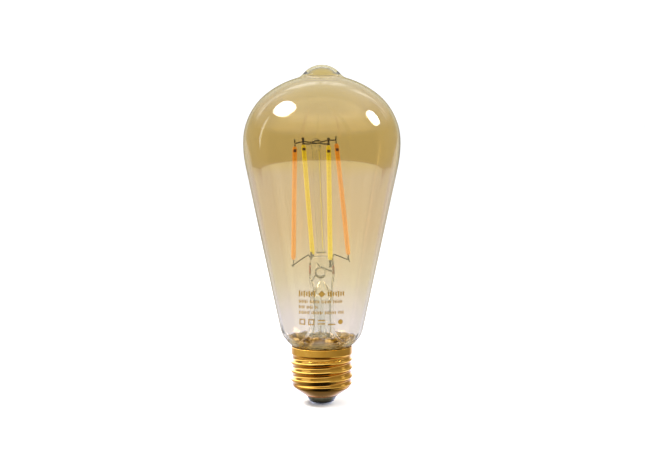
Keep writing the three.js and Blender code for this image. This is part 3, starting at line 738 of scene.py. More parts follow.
def screw_shell():
    """Rolled sheet: tapered foot, thread with faint dents, plain collar and a curled rim, with an inside."""
    foot_r = SHELL_FOOT_RADIUS
    shares = spread(0, 1, 8)[1:-1]
    taper = [(foot_r + (ROOT_RADIUS - foot_r) * share + 0.18 * math.sin(math.pi * share),
              SHELL_FOOT_Z + (TAPER_TOP_Z - SHELL_FOOT_Z) * share) for share in shares]
    side = [
        (foot_r + 0.12, SHELL_FOOT_Z), (foot_r + 0.02, SHELL_FOOT_Z + 0.12), *taper,
        *column(ROOT_RADIUS, THREAD_FOOT, THREAD_TOP, 110),
        (ROOT_RADIUS + 0.12, THREAD_TOP + 0.12), (ROOT_RADIUS + 0.42, THREAD_TOP + 0.3),
        (COLLAR_RADIUS - 0.14, THREAD_TOP + 0.5), (COLLAR_RADIUS - 0.03, THREAD_TOP + 0.68),
        *column(COLLAR_RADIUS, THREAD_TOP + 0.85, RIM_Z - 0.35, 8),
    ]
    rim = arc(COLLAR_RADIUS - 0.22, RIM_Z - 0.22, 0.22, 0, 90, 6)
    inner_r = COLLAR_RADIUS - SHEET
    inner = [(inner_r, RIM_Z - 0.5), *[(max(r - SHEET, 5.0), z) for r, z in side[-2::-1]]]

    def threaded(radius, azimuth, z):
        dent = 0.035 * noise.noise(polar(2.2, azimuth, z * 0.22))
        lift = thread_at(azimuth, z) if THREAD_FOOT <= z <= THREAD_TOP and radius < ROOT_RADIUS + 0.01 else 0
        return polar(min(radius + lift + dent, CREST_RADIUS), azimuth, z)

    return turned([*side, *rim, (inner_r + 0.1, RIM_Z - 0.08), *inner], 180, loop=True, place=threaded)


piece("screw_shell", screw_shell(), GOLD, ["cap_shell"], sharp=50)


def insulator():
    """Poured glass ring: it fills the shell's foot and has a soft shoulder where the mould let go."""
    foot_z = box("cap_insulator")[0].z
    eyelet = 1.3 + GAP
    outside = [(5.35, 0.75), (5.62, 1.05), (5.78, 1.3), (5.98, 1.75), (6.16, 2.1), (6.3, 2.45)]
    profile = [
        (eyelet, foot_z), (4.3, foot_z), (4.75, foot_z + 0.03), *arc(4.75, foot_z + 0.45, 0.45, -80, -10, 5),
        *[(r, foot_z + rise) for r, rise in outside],
        (6.43, SHELL_FOOT_Z), (9.9, 6.3), (7.0, 5.6), (eyelet, 5.6),
    ]
    return turned(profile, 120, loop=True)


piece("black_glass_ring", insulator(), BLACK_GLASS, ["cap_insulator"], sharp=35)


def contact():
    """Pressed disc with a rolled edge and a spot of solder set into its middle."""
    profile = [
        (0.0, 0.02), (0.5, 0.03), (0.95, 0.07), (1.2, 0.16), (1.35, 0.22), (1.5, 0.1), (1.7, 0.0),
        (3.5, 0.0), (3.85, 0.05), (4.12, 0.18), (4.28, 0.4), (4.3, 0.62), (4.2, 0.78), (4.0, 0.8),
        (1.3, 0.8), (1.3, 6.0), (0.6, 6.0), (0.6, 1.4), (0.0, 1.2),
    ]
    return turned(profile, 96)


piece("contact_disc", contact(), SOLDER, ["centre_contact"], sharp=35)


def cement():
    """Capping cement between neck and shell, with a lumpy top."""
    low_z, high_z = heights("capping_cement")
    side_r, collar_r, neck_r = ROOT_RADIUS - SHEET - GAP, COLLAR_RADIUS - SHEET - GAP, NECK_RADIUS + GAP
    profile = [
        (neck_r, low_z), *column(side_r, low_z, THREAD_TOP + 0.1, 6),
        (collar_r, THREAD_TOP + 0.8), (collar_r, high_z - 0.8), (collar_r - 0.1, high_z),
        *[(r, high_z + 0.1) for r in spread(collar_r, neck_r, 4)[1:]],
        *[(neck_r, z) for z in spread(high_z, low_z, 6)[1:-1]],
    ]

    def lumpy(radius, azimuth, z):
        lump = noise.noise(polar(radius, azimuth, z) * 0.55) * 0.9 * smoothstep(z, THREAD_TOP + 0.9, high_z)
        return polar(radius, azimuth, z + lump)

    return turned(profile, 144, loop=True, place=lumpy)


piece("cement_fill", cement(), CEMENT, ["capping_cement"], sharp=50)


# ---- glass mount

STEM_RADIUS, STEM_WALL = 5.0, 0.6
FLARE_TOP_Z, FLARE_RIM_RADIUS = 34.0, 11.2
FLARE_RIM_Z, PRESS_TOP_Z = heights("glass_stem")
BORE_TOP_Z, BORE_TAPER_Z = 52.2, 41.5
PRESS_ROUND_Z, PRESS_HALF_DEPTH = 57.2, 2.15
RELIEF_FOOT_Z = 46


def flare_radius(z):
    """Outside radius of the stem's foot, which flares along an arc."""
    height, spare = FLARE_TOP_Z - FLARE_RIM_Z, FLARE_RIM_RADIUS - STEM_RADIUS
    radius = (height**2 + spare**2) / (2 * spare)
    return STEM_RADIUS + radius - math.sqrt(radius**2 - max(FLARE_TOP_Z - z, 0) ** 2)


def squircle(z, half_x, half_y, power=2.0):
    """A closed row at a height, between an ellipse (power 2) and a rounded box."""
    corners = circle(1, 144)
    return [Vector((half_x * math.copysign(abs(c) ** (2 / power), c),
                    half_y * math.copysign(abs(s) ** (2 / power), s), z)) for c, s in corners]


def stem_section(z):
    """Half width, half depth and squareness of the stem's outside at a height."""
    if z <= FLARE_TOP_Z:
        return flare_radius(z), flare_radius(z), 2.0
    pinch = smoothstep(z, 45.0, 54.5)
    wide = STEM_RADIUS + 0.4 * smoothstep(z, 47, 55) - 0.35 * bell(z, 47.5, 2.2)
    wide -= 2.1 * (max(z - PRESS_ROUND_Z, 0) / (PRESS_TOP_Z - PRESS_ROUND_Z)) ** 2.2
    return wide, STEM_RADIUS + (PRESS_HALF_DEPTH - STEM_RADIUS) * pinch, 2.0 + 1.1 * pinch


def off_segment(spot, start, end):
    """Distance from a point to a segment, in the plane."""
    spot, start, end = Vector(spot), Vector(start), Vector(end)
    run = end - start
    share = min(max((spot - start).dot(run) / run.length_squared, 0), 1)
    return (spot - start - run * share).length


def bore_row(z):
    """The stem's inside: round, and drawn in to a point where the press closes it."""
    dome = 1 - (max(z - BORE_TAPER_Z, 0) / (BORE_TOP_Z - BORE_TAPER_Z)) ** 2
    if dome < 1e-3:
        return [Vector((0, 0, z))]
    if z < FLARE_TOP_Z:
        return squircle(z, flare_radius(z) - STEM_WALL, flare_radius(z) - STEM_WALL)
    wide, deep, _ = stem_section(z)
    return squircle(z, (wide - STEM_WALL) * dome, (min(deep, STEM_RADIUS) - STEM_WALL) * dome)


def press_relief(across, up):
    """How far the press front stands proud at a point measured from the blown hole's centre."""
    distance = math.hypot(across, up)
    crater = -1.7 * smoothstep(BLOW_RADIUS - distance, -0.1, 0.7)
    ridges = 0.0
    for start, end, height, width in PRESS_RIDGES:
        ridges += height * bell(off_segment((across, up), start, end), 0, width)
    return crater + 0.55 * bell(distance, BLOW_RADIUS, 0.38) + ridges


def stem():
    """Flared foot, tube and flat press, hollow up to the press, with the blown hole in its front face."""
    taper = BORE_TOP_Z - BORE_TAPER_Z
    inside = [BORE_TOP_Z - taper * (i / 14) ** 1.6 for i in range(15)]
    inside += spread(BORE_TAPER_Z, FLARE_RIM_Z + 0.3, 30)[1:]
    rim = [polar(flare_radius(FLARE_RIM_Z) - 0.45, 360 * i / 144, FLARE_RIM_Z) for i in range(144)]
    edge_z = PRESS_TOP_Z - 0.5
    levels = [*spread(FLARE_RIM_Z + 0.3, 43.8, 36), *spread(44.0, edge_z, 84)]
    outside = [squircle(z, *stem_section(z)) for z in levels]
    wide, deep, power = stem_section(edge_z)
    for share in (0.93, 0.8, 0.5):
        outside.append(squircle(edge_z + 0.5 * math.sqrt(1 - share**2), wide * share, deep * share, power))
    outside.append([Vector((0, 0, PRESS_TOP_Z))])
    for row in outside:
        for point in row:
            if point.y < 0 and point.z >= RELIEF_FOOT_Z:
                point.y -= press_relief(point.x - BLOW_X, point.z - BLOW_Z)
    return skin([*[bore_row(z) for z in inside], rim, *outside])


piece("stem_glass", stem(), CLEAR_GLASS, ["glass_stem"], sharp=60)


def exhaust():
    """Exhaust tube, bent a little as it hangs, closed at its foot and open at its top."""
    foot, head, _ = straight("exhaust_tube")
    length = (head - foot).length
    outer, bore = 1.8, 1.1
    profile = [
        (0.0, 0.0), *arc(0, 1.2, 1.2, -70, -20, 5), *arc(0, outer + 0.9, outer, -25, 0, 3),
        *column(outer, 3, length - 0.3, 12),
        (outer - 0.15, length), (bore + 0.1, length),
        *column(bore, length - 0.2, 3.8, 12),
        *arc(0, 3.8, bore, -10, -80, 4), (0.0, 2.6),
    ]
    place = on_axis(foot, head)

    def bent(radius, azimuth, z):
        return place(radius, azimuth, z) + Vector((0.35 * math.sin(math.pi * (z / length)), 0, 0))

    return turned(profile, 48, place=bent)


piece("exhaust_glass", exhaust(), CLEAR_GLASS, ["exhaust_tube"], sharp=60)


def rod():
    """Drawn rod with a sealed foot and a melted button that holds the bridge wires."""
    foot, head, _ = straight("support_rod")
    length = (box("support_rod")[1].z - foot.z) / (head - foot).normalized().z
    button = [(1.62, 4.9), (1.74, 4.2), (1.93, 3.4), (2.0, 2.5), (1.96, 1.7), (1.78, 1.0), (1.4, 0.45),
              (0.8, 0.1), (0, 0)]
    profile = [(0.0, 0.0), (1.4, 0.02), (1.9, 0.16), (2.05, 0.45), (1.9, 0.85), (1.68, 1.3), (1.6, 1.9)]
    profile += [(1.6 + 0.03 * math.sin(i * 1.7), 2 + (length - 7.4) * i / 20) for i in range(21)]
    profile += [(r, length - down) for r, down in button]
    return turned(profile, 48, place=on_axis(foot, head))


piece("rod_glass", rod(), CLEAR_GLASS, ["support_rod"], sharp=60)


# ---- filaments, tabs and bridge wires

FILAMENTS = {"warm_filament_right": WARM, "cool_filament_back": COOL,
             "warm_filament_left": WARM, "cool_filament_front": COOL}
WIRE, LOWER_WIRE = 0.27, 0.22


def strip(node):
    """A silicone strip: rounded section, ends that draw in, and a faint swell over each chip."""
    foot, head, (_, across, _) = straight(node)
    length = (head - foot).length

    def section(share):
        drawn = 0.55 + 0.45 * smoothstep(min(share, 1 - share) * length, -0.25, 1.0)
        swell = 1 + 0.018 * math.sin(2 * math.pi * share * length / CHIP_PITCH)
        return rounded_box(1.85 * drawn * swell, 1.72 * drawn, 0.66 * drawn, 4)

    return swept([foot.lerp(head, share) for share in spread(0, 1, 150)], section, across)


def flat_tab(node, upper):
    """A stamped strip with a waist, a crimp by the filament and a slightly turned outer end."""
    foot, head, (_, across, through) = straight(node)
    outwards = through if through.dot(Vector(((foot + head) / 2).xy.to_3d())) > 0 else -through

    def from_filament(share):
        return share if upper else 1 - share

    def spot(share):
        near = from_filament(share)
        curl = 0.22 * smoothstep(near, 0.55, 1.0) ** 2 - 0.1 * bell(near, 0.18, 0.08)
        return foot.lerp(head, share) + outwards * curl

    def section(share):
        near = from_filament(share)
        return rounded_box(1.1 - 0.352 * bell(near, 0.42, 0.2), 0.22 + 0.11 * bell(near, 0.16, 0.07), 0.08, 2)

    return swept([spot(share) for share in spread(0, 1, 16)], section, across)


def wire(name, node, points):
    """A nickel wire through the points, in place of a CAD node."""
    piece(name, round_wire(points, WIRE), NICKEL, [node])


for filament, silicone in FILAMENTS.items():
    slot = "warm_phosphor" if silicone == WARM else "cool_phosphor"
    piece(filament.replace("filament", "strip"), strip(filament), silicone, [filament], sharp=60)
    for end in ("bottom", "top"):
        tab = f"{filament}_{end}_tab"
        name = tab.replace("filament", "strip").replace("_tab", "_lug")
        piece(name, flat_tab(tab, end == "top"), NICKEL, [tab], sharp=45)


def bridge(node, sag, left_hook, right_hook):
    """A hand-bent wire from lug to lug through the rod's button, with a little hook at each end."""
    left, right, _ = straight(node)
    if left.x > right.x:
        left, right = right, left
    across = (right - left).normalized()
    span = (right - left).length
    waves = ((0.2, sag), (0.36, -sag * 0.4), (0.5, 0), (0.66, -sag * 0.7), (0.84, sag * 0.5))
    return [
        left - across * 0.5 + UP * left_hook,
        left - across * 0.65 + UP * left_hook * 0.4,
        left + across * 0.1 - UP * 0.1,
        *[left + across * span * share + UP * rise for share, rise in waves],
        right - across * 0.1,
        right + across * 0.6 + UP * right_hook * 0.5,
        right + across * 0.45 + UP * right_hook,
    ]


wire("warm_bridge", "warm_bridge_wire", bridge("warm_bridge_wire", 0.35, 0.9, 1.1))
wire("cool_bridge", "cool_bridge_wire", bridge("cool_bridge_wire", -0.3, 0.8, 1.0))


# ---- leads

LEADS = {"common": (-4.5, 0.0), "warm": (4.5, 1.0), "cool": (4.5, -0.9)}
LEAD_TOPS = {"common": ("cool_filament_back", 63.4), "warm": ("warm_filament_right", 62.4),
             "cool": ("cool_filament_front", 61.6)}
LEAD_FEET = {
    "common": [(-3, -2.2, 47.5), (-3, -2.2, 34), (-4.4, -1.6, 27), (-6.6, 1.5, 17.4)],
    "warm": [(3.6, 1.1, 47), (3.7, 1.1, 30), (6.2, 1.5, 17.4)],
    "cool": [(3.6, -1, 47), (3.7, -1, 30), (5, -1.2, 24), (8, 1.5, 17.4)],
}
DUMET_FOOT, DUMET_TOP = heights("common_lead_dumet")


def tab_joint(filament):
    """A point just inside a filament's lower tab."""
    foot, head, _ = straight(filament)
    spot = foot - (head - foot).normalized() * 2.0
    return spot - Vector((spot.x, spot.y, 0)).normalized() * 0.45


def lead_top(x, y, filament, knee_z):
    """Up out of the seal, over a soft knee and out to the filament's lower tab."""
    joint, knee = tab_joint(filament), Vector((x, y, knee_z))
    out = (joint - knee).normalized()
    return [
        Vector((x, y, DUMET_TOP + 0.1)),
        knee - UP * 2.0,
        knee - UP * 0.5 + out * 0.15,
        knee + out * 0.9 + UP * 0.35,
        knee.lerp(joint, 0.5) + UP * 0.3,
        joint - out * 0.5,
        joint + UP * 0.25 + out * 0.1,
        joint + UP * 1.2,
    ]


def branch():
    """A wire welded beside the common lead, out to the other filament."""
    x, y = LEADS["common"]
    joint, start = tab_joint("warm_filament_left"), Vector((x - 2 * WIRE - 0.1, y - 0.2, 62.6))
    out = (joint - start).normalized()
    return [
        start - UP * 1.1,
        start - UP * 0.3 + out * 0.1,
        start + out * 0.8 + UP * 0.2,
        start.lerp(joint, 0.5) + UP * 0.25,
        joint - out * 0.4,
        joint + out * 0.4 + UP * 0.1,
        joint + out * 1.5,
    ]


wire("common_branch", "common_branch_wire", branch())
for lead, (x, y) in LEADS.items():
    wire(f"{lead}_lead_top", f"{lead}_lead_inner", lead_top(x, y, *LEAD_TOPS[lead]))
    seal = [Vector((x, y, z)) for z in spread(DUMET_FOOT, DUMET_TOP, 6)]
    swell = lambda share: circle(WIRE * (1 + 0.05 * math.sin(share * 9)), 16)
    piece(f"{lead}_seal_wire", swept(seal, swell), DUMET, [f"{lead}_lead_dumet"])
    lower = [(x, y, DUMET_FOOT - 0.2), (x, y, DUMET_FOOT - 1.2), *LEAD_FEET[lead]]
    piece(f"{lead}_lead_lower", round_wire(lower, LOWER_WIRE), TINNED, [f"{lead}_lead_outer"])


# ---- printed marks

MARK_LIFT, MARK_THICKNESS = 0.03, 0.04
HEADING_Z, SYMBOL_Z = 48.9, 37.0


def glass_radius(z):
    """Outside radius of the glass at a height."""
    for (r0, z0), (r1, z1) in zip(OUTLINE, OUTLINE[1:]):
        if z0 <= z <= z1 and z1 > z0:
            return r0 + (r1 - r0) * (z - z0) / (z1 - z0)
    return NECK_RADIUS


def printed(outline):
    """A flat mark wrapped round the front of the glass. Points are (x seen from the front, height)."""
    centre = (sum(x for x, _ in outline) / len(outline), sum(z for _, z in outline) / len(outline))

    def wrap(x, z, lift):
        return polar(glass_radius(z) + lift, -90 + math.degrees(x / glass_radius(z)), z)

    under, over = MARK_LIFT, MARK_LIFT + MARK_THICKNESS
    rows = [[wrap(x, z, lift) for x, z in outline] for lift in (under, over)]
    return skin([[wrap(*centre, under)], *rows, [wrap(*centre, over)]])


def bar_mark(x0, x1, z0, z1):
    across = spread(x0, x1, max(2, round((x1 - x0) / 0.5)))
    return printed([*[(x, z0) for x in across], *[(x, z1) for x in reversed(across)]])


def disc_mark(x, z, radius):
    return printed([(x + across, z + up) for across, up in circle(radius, 28)])


def ticks(left, right, z, heights, width, pitch, gap_after):
    """A line of upright strokes, with a space after every few."""
    parts = []
    x = left
    while x + width <= right:
        half = heights[len(parts) % len(heights)] / 2
        parts.append(bar_mark(x, x + width, z - half, z + half))
        x += pitch * (2 if len(parts) % gap_after == 0 else 1)
    return parts


def frame_mark(x, z, half=1.25, stroke=0.42):
    inner = half - stroke
    sides = ((-half, half, -half, -inner), (-half, half, inner, half),
             (-half, -inner, -inner, inner), (inner, half, -inner, inner))
    return [bar_mark(x + left, x + right, z + low, z + high) for left, right, low, high in sides]


def marks():
    """Plain generic strokes and shapes in five lines, where such a lamp carries its print."""
    parts = ticks(-9.6, -2.4, HEADING_Z, (2.5, 1.8), 0.6, 1.05, 99)
    diamond = ((-1.5, 0), (0, -1.4), (1.5, 0), (0, 1.4))
    parts.append(printed([(x, HEADING_Z + rise) for x, rise in diamond]))
    parts += ticks(2.4, 9.8, HEADING_Z, (1.8, 2.5, 1.8), 0.6, 1.05, 99)
    for z, left, right, gap_after in ((45.6, -9.6, 9.0, 6), (43.3, -9.6, -1.6, 4), (41.0, -9.6, 9.6, 7)):
        parts += ticks(left, right, z, (1.3, 0.9, 1.3, 1.1), 0.38, 0.68, gap_after)
    parts += frame_mark(-8.2, SYMBOL_Z) + frame_mark(-4.3, SYMBOL_Z)
    for left, rise in ((-1.6, 0.5), (-1.6, -0.9), (2.6, -1.2)):
        parts.append(bar_mark(left, left + 3.0, SYMBOL_Z + rise, SYMBOL_Z + rise + 0.5))
    return joined(*parts, disc_mark(7.8, SYMBOL_Z, 1.05))


piece("printed_marks", marks(), INK, sharp=60)


# ---- driver, hidden in the cap


def masked(name, dark, light, other, mask, rough, scale=0.9, bump=0.05):
    """A mottled material with a second colour laid over it where mask(x, z) is 1."""
    material, shader, (vector, x, _, z) = new_material(name)
    grain = speckle(vector, scale, 4.0, 0.6)
    tone = colours(grain, [(0.3, dark), (0.7, light)])
    share = mask(x, z)
    feed(shader, Base_Color=blended(share, tone, other), Roughness=varied(grain, *rough),
         Normal=bumped(plus(grain, share), 0.4, bump))
    return material


def tracks(x, z):
    """Copper tracks under the solder mask: the joints of a long, staggered brick pattern on a slant."""
    slanted = put("Mapping", Vector=combined(z, x), Rotation=(0, 0, math.radians(8))).outputs[0]
    bricks = put("TexBrick", {"offset": 0.4}, Vector=slanted, Scale=0.5, Mortar_Size=0.035,
                 Brick_Width=1.9, Row_Height=0.55)
    return bricks.outputs["Fac"]


def between(value, low, high, blur=0.05):
    """1 between two values and 0 outside them."""
    return times(ranged(value, low - blur, low + blur), ranged(value, high + blur, high - blur))


def stripe(x, z):
    """A pale polarity stripe down one side of the capacitor."""
    return between(minus(x, middle("bulk_capacitor").x), 1.6, 2.9)


def winding(x, z):
    low, high = heights("power_inductor")
    return between(z, low + 1.0, high - 1.0)


def colour_bands(x, z):
    foot_z = box("fuse_resistor")[0].z
    bands = [between(z, foot_z + start, foot_z + start + 0.5, 0.03) for start in (1.5, 2.6, 3.7)]
    return larger(larger(bands[0], bands[1]), bands[2])


BOARD_GREEN = masked("board_green", (0.012, 0.09, 0.03), (0.02, 0.13, 0.045), (0.04, 0.22, 0.09), tracks,
                     (0.3, 0.45))
MODULE_BLUE = masked("module_blue", (0.006, 0.018, 0.05), (0.01, 0.03, 0.08), (0.03, 0.08, 0.16), tracks,
                     (0.3, 0.45))
CHIP = solid("chip_epoxy", (0.008, 0.008, 0.009), (0.02, 0.02, 0.022), (0.45, 0.65), 3.0, 0.05)
FILM = masked("capacitor_film", (0.008, 0.012, 0.03), (0.02, 0.028, 0.06), (0.45, 0.46, 0.48), stripe,
              (0.25, 0.4), 0.6, 0.03)
WOUND = masked("wound_ferrite", (0.02, 0.02, 0.022), (0.05, 0.05, 0.055), (0.42, 0.15, 0.05), winding,
               (0.35, 0.6), 2.2, 0.06)
LACQUER = masked("resistor_lacquer", (0.12, 0.22, 0.27), (0.2, 0.33, 0.38), (0.10, 0.05, 0.02), colour_bands,
                 (0.4, 0.6), 1.5, 0.04)
SLEEVE = solid("sleeve_film", (0.66, 0.60, 0.46), (0.8, 0.76, 0.64), (0.3, 0.45), 0.4, 0.05)
RED = solid("red_insulation", (0.30, 0.015, 0.01), (0.42, 0.03, 0.02), (0.35, 0.5), 1.5, 0.04)
BLACK = solid("black_insulation", (0.008, 0.008, 0.009), (0.02, 0.02, 0.022), (0.35, 0.5), 1.5, 0.04)
CAN = metal("shield_steel", (0.42, 0.42, 0.42), (0.55, 0.56, 0.57), (0.66, 0.67, 0.68), (0.22, 0.38), 0.7)


def standing(node, outline, segments):
    """A turned piece in a round CAD node's place. outline(radius, height) gives its (radius, z) points."""
    low, high = box(node)
    foot = Vector(((low.x + high.x) / 2, (low.y + high.y) / 2, low.z))
    profile = outline((high.y - low.y) / 2, high.z - low.z)
    return turned(profile, segments, place=lambda *spot: foot + polar(*spot))


def can_outline(radius, height):
    """Shrink-filmed can: rolled groove over the seal, film turned in round a sunk, vented top."""
    side = [(0.7, 0.1), (0.5, 0), (0.12, 0.05), (0, 0.3), (0, 0.9), (0.12, 1.1), (0.26, 1.3), (0.12, 1.5),
            (0, 1.75)]
    top = [(0, 0.5), (0.1, 0.2), (0.35, 0.02), (0.6, 0), (0.75, 0.14), (1.2, 0.16)]
    return [(0, 0.1), *[(radius - inset, z) for inset, z in side],
            *[(radius - inset, height - down) for inset, down in top],
            (0.5, height - 0.16), (0.3, height - 0.26), (0, height - 0.26)]


def drum_outline(radius, height):
    """Drum core: two flanges with a wound middle of twelve turns of wire."""
    flange = [(0, 0), (radius - 0.1, 0), (radius, 0.12), (radius, 0.85), (radius - 0.08, 0.97)]
    wound = [(radius - 0.5 + 0.1 * abs(math.sin(math.pi * i / 4)), z)
             for i, z in enumerate(spread(1.0, height - 1.0, 48))]
    return [*flange, *wound, *[(r, height - z) for r, z in flange[:0:-1]],
            (0.9, height), (0.8, height - 0.15), (0, height - 0.15)]


def dog_bone(radius, height):
    """Resistor body: a domed cap at each end and a narrower, dipped middle."""
    half = [(0, 0), (radius * 0.45, 0.06), (radius * 0.8, 0.25), (radius, 0.65), (radius, 1.1),
            (radius * 0.84, 1.6), (radius * 0.8, height / 2)]
    return [*half, *[(r, height - z) for r, z in reversed(half[:-1])]]


for node, name, outline, segments, material, slot, sharp in (
    ("bulk_capacitor", "capacitor_can", can_outline, 48, FILM, "capacitor_film", 30),
    ("power_inductor", "inductor_drum", drum_outline, 48, WOUND, "ferrite", 30),
    ("fuse_resistor", "fuse_body", dog_bone, 32, LACQUER, "resistor_lacquer", 40),
):
    piece(name, standing(node, outline, segments), material, [node], sharp)


def legs(node, pitch, count):
    """Formed legs along both sides of a chip, from mid-height of its body down to the board."""
    (low, high), board_top = box(node), box("driver_board")[1].y
    knee_y, centre_z, shapes = (low.y + high.y) / 2, (low.z + high.z) / 2, []
    for side, edge in ((-1, low.x - 0.02), (1, high.x + 0.02)):
        for i in range(count):
            z = centre_z + (i - (count - 1) / 2) * pitch
            path = [(0, knee_y), (0.3, knee_y), (0.42, board_top + 0.25), (0.55, board_top + 0.13),
                    (0.95, board_top + 0.12)]
            path = [(edge + side * out, y, z) for out, y in path]
            shapes.append(swept(path, lambda share: rounded_box(0.36, 0.14, 0.03, 1), UP))
    return joined(*shapes)


for node, name, material, slot, bevel in (
    ("driver_board", "driver_board_panel", BOARD_GREEN, "circuit_board", 0.08),
    ("wifi_module_board", "module_board_panel", MODULE_BLUE, "module_board", 0.07),
    ("bridge_rectifier", "rectifier_body", CHIP, "chip_plastic", 0.16),
    ("driver_chip", "driver_chip_body", CHIP, "chip_plastic", 0.16),
    ("wifi_shield_can", "shield_can_shell", CAN, "shield_steel", 0.3),
):
    piece(name, brick(node, bevel), material, [node], 30)
piece("rectifier_legs", legs("bridge_rectifier", 2.4, 2), SOLDER)
piece("driver_chip_legs", legs("driver_chip", 1.2, 3), SOLDER)


def sleeve():
    """A film tube with softly turned edges that has taken up a few shallow ripples."""
    low, high = box("board_sleeve")
    radius, wall, turn = (high.x - low.x) / 2, 0.22, 0.08
    outside = [(radius - turn, low.z), (radius, low.z + 0.15),
               *[(radius, z) for z in spread(low.z, high.z, 12)[1:-1]],
               (radius, high.z - 0.15), (radius - turn, high.z)]
    inside = [(r - wall, z) for r, z in reversed(outside)]

    def rippled(r, azimuth, z):
        return polar(r - 0.05 - 0.05 * noise.noise(polar(1.6, azimuth, z * 0.3)), azimuth, z)

    return turned([*outside, *inside], 96, loop=True, place=rippled)


piece("sleeve_tube", sleeve(), SLEEVE, ["board_sleeve"], 40)

for node, material in (("wifi_antenna", DUMET), ("live_wire", RED), ("neutral_wire", BLACK)):
    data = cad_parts[node].data
    data.materials.clear()
    data.materials.append(material)


# ---- floor, light and camera

LEFT_BOX, RIGHT_BOX = (-0.64, 0.01, 0.77), (0.84, 0.13, 0.52)


def floor():
    material, shader, place = new_material("pale_floor")
    tone = colours(speckle(place[0], 0.02, 2.0), [(0.3, (0.93, 0.93, 0.93)), (0.7, (0.95, 0.95, 0.95))])
    feed(shader, Base_Color=tone, Roughness=0.9, Specular_IOR_Level=0.1)
    mesh = bpy.data.meshes.new("floor")
    half = 4.0
    corners = [(-half, -half, 0), (half, -half, 0), (half, half, 0), (-half, half, 0)]
    mesh.from_pydata(corners, [], [(0, 1, 2, 3)])
    mesh.materials.append(material)
    made = placed("floor", mesh)
    unmirrored(made)


def dot(ray, direction):
    return put("VectorMath", {"operation": "DOT_PRODUCT"}, _0=ray, _1=direction).outputs["Value"]


def glow_patch(ray, direction, half_width, half_height, turn, blur):
    """1 inside an oval patch of the surroundings that lies in a direction, 0 outside it."""
    centre = Vector(direction).normalized()
    level = centre.cross(UP).normalized()
    rise = level.cross(centre)
    angle = math.radians(turn)
    across = level * math.cos(angle) + rise * math.sin(angle)
    upright = rise * math.cos(angle) - level * math.sin(angle)
    axes = (across / half_width, upright / half_height)
    spreads = [maths("POWER", absolute(dot(ray, axis)), 2.6) for axis in axes]
    inside = eased(plus(*spreads), 1.0 - blur, 1.0 + blur, 1.0, 0.0)
    return times(inside, maths("GREATER_THAN", dot(ray, centre), 0.5))


def glass_mirrors(ray, side, away, up, through, patches):
    """What the glass mirrors and shows: a pale table, a dark room past its edge, white behind the lamp."""
    table_edge = ranged(away, 0.35, 0.85, 0.275, 0.15)
    table = eased(minus(times(up, -1.0), table_edge), 0.0, 0.03)
    bands = speckle(combined(maths("ARCTAN2", side, away), times(up, 0.15)), 5.0, 2.0)
    table_level = times(ranged(away, -0.2, 0.7, 2.6, 1.0), varied(bands, 0.88, 1.14))
    sky = plus(eased(up, 0.16, 0.52, 0.0, 0.8), eased(up, 0.50, 0.78, 0.0, 1.1))
    level = plus(plus(0.38, times(table, table_level)), sky)
    level = mixed(eased(up, -0.70, -0.86), level, 0.15)

    behind_from = mixed(through, eased(up, -0.15, 0.05, 0.60, 0.80), -0.05)
    behind = eased(away, behind_from, plus(behind_from, 0.12))
    backdrop = plus(eased(away, 0.74, 0.97, 1.0, 0.4), eased(up, 0.3, 0.8, 0.0, 1.4))
    level = mixed(behind, level, mixed(through, backdrop, eased(up, 0.30, 0.62, 1.0, 0.3)))

    streak = times(eased(absolute(minus(away, 0.56)), 0.03, 0.10, 1.0, 0.0),
                   times(ranged(up, 0.30, 0.42), ranged(bands, 0.40, 0.55)))
    crescent = glow_patch(ray, (-0.965, 0.2, 0.24), 0.035, 0.30, 0, 0.4)
    level = plus(level, times(patches, 26.0))
    level = plus(level, times(times(streak, minus(1.0, through)), 1.6))
    return plus(level, times(crescent, 2.6)), times(table, minus(1.0, behind))


def metal_mirrors(side, away, up, patches):
    """What metal and other satin surfaces mirror: a dim room, lighter to the left, with lights beside it."""
    level = mixed(eased(up, 0.25, 0.5), ranged(side, -0.9, 0.9, 0.64, 0.32), 0.36)
    to_left, to_right = eased(side, -0.35, -0.65), eased(side, 0.35, 0.65)
    beside = times(plus(times(to_left, 0.55), times(to_right, 1.25)), ranged(up, -0.72, -0.52, 0.1, 1.0))
    level = mixed(eased(up, -0.24, -0.50), level, plus(eased(away, 0.05, 0.35, 0.015, 0.24), beside))
    level = mixed(eased(away, 0.60, 0.9), level, 1.0)
    strip_light = eased(absolute(minus(up, 0.17)), 0.10, 0.30, 1.0, 0.0)
    strip_level = plus(ranged(side, -0.2, -0.95, 1.1, 2.6), times(to_right, -0.85))
    return plus(plus(level, times(strip_light, strip_level)), times(patches, 0.6))


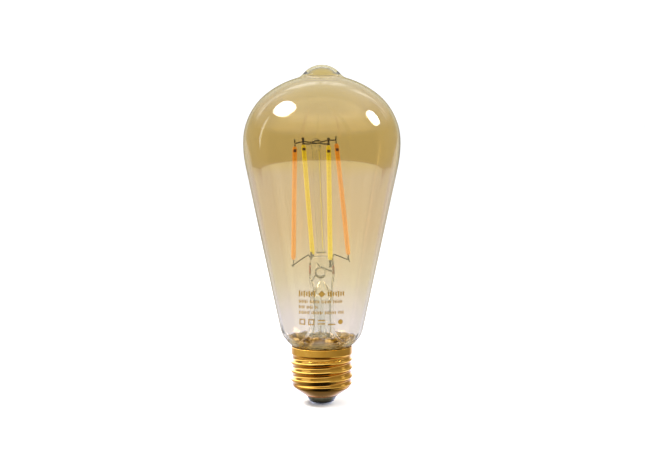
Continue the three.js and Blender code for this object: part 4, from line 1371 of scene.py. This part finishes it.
def studio():
    """Even white light, and what is mirrored: a room that turns with the camera and softboxes that do not."""
    world = bpy.data.worlds.new("studio")
    bpy.context.scene.world = world
    world.use_nodes = True
    world.cycles.sampling_method = "NONE"
    tree = world.node_tree
    ray = put("TexCoord", tree=tree).outputs["Generated"]
    settings = {"vector_type": "VECTOR", "convert_from": "WORLD", "convert_to": "CAMERA"}
    turned_ray = put("VectorTransform", settings, Vector=ray).outputs[0]
    seen = put("SeparateXYZ", _0=turned_ray).outputs
    side, away = seen[0], seen[2]
    up = put("SeparateXYZ", _0=ray).outputs[2]
    path = put("LightPath", tree=tree).outputs
    through, mirrored, sharp = path["Is Transmission Ray"], path["Is Glossy Ray"], path["Is Singular Ray"]
    left_patch = glow_patch(ray, LEFT_BOX, 0.26, 0.20, -8, 0.35)
    patches = plus(left_patch, glow_patch(ray, RIGHT_BOX, 0.15, 0.17, 0, 0.35))
    glass_level, on_table = glass_mirrors(ray, side, away, up, through, patches)
    metal_level = metal_mirrors(side, away, up, patches)

    by_glass = larger(times(mirrored, sharp), through)
    by_metal = times(mirrored, minus(1.0, sharp))
    dim = times(minus(by_glass, through), ranged(glass_level, 0.4, 0.8, 1.0, 0.0))
    colour = blended(dim, WHITE, (1.0, 0.86, 0.62))
    colour = blended(times(by_glass, on_table), colour, (1.0, 0.97, 0.68))
    colour = blended(times(by_metal, ranged(metal_level, 0.5, 1.3)), colour, (0.98, 1.12, 1.8))
    feed(tree.nodes["Background"], Color=colour,
         Strength=mixed(by_metal, mixed(by_glass, 1.12, glass_level), metal_level))


def softbox(name, direction, distance, size, watts):
    target = Vector((0, 0, 0.115))
    light = bpy.data.lights.new(name, "AREA")
    light.shape = "ELLIPSE"
    light.size, light.size_y = size
    light.energy = watts
    made = placed(name, light)
    unmirrored(made)
    made.location = target + Vector(direction).normalized() * distance
    made.rotation_mode = "QUATERNION"
    made.rotation_quaternion = (made.location - target).to_track_quat("Z", "Y")


def camera():
    data = bpy.data.cameras.new("camera")
    data.sensor_width = 36.0
    data.lens = 86.5
    data.shift_x = 0.0011
    data.clip_start, data.clip_end = 0.01, 50
    made = placed("camera", data)
    made.location = (0, -0.640, 0.136)
    made.rotation_euler = (math.radians(90 - 5.73), 0, 0)
    bpy.context.scene.camera = made


floor()
studio()
softbox("softbox_left", LEFT_BOX, 0.6, (0.30, 0.24), 4.5)
softbox("softbox_right", RIGHT_BOX, 0.6, (0.20, 0.22), 3.0)
camera()
bpy.context.scene.view_settings.view_transform = "Standard"
bpy.context.scene.cycles.max_bounces = 24
bpy.context.scene.cycles.transmission_bounces = 20
bpy.context.scene.cycles.transparent_max_bounces = 32
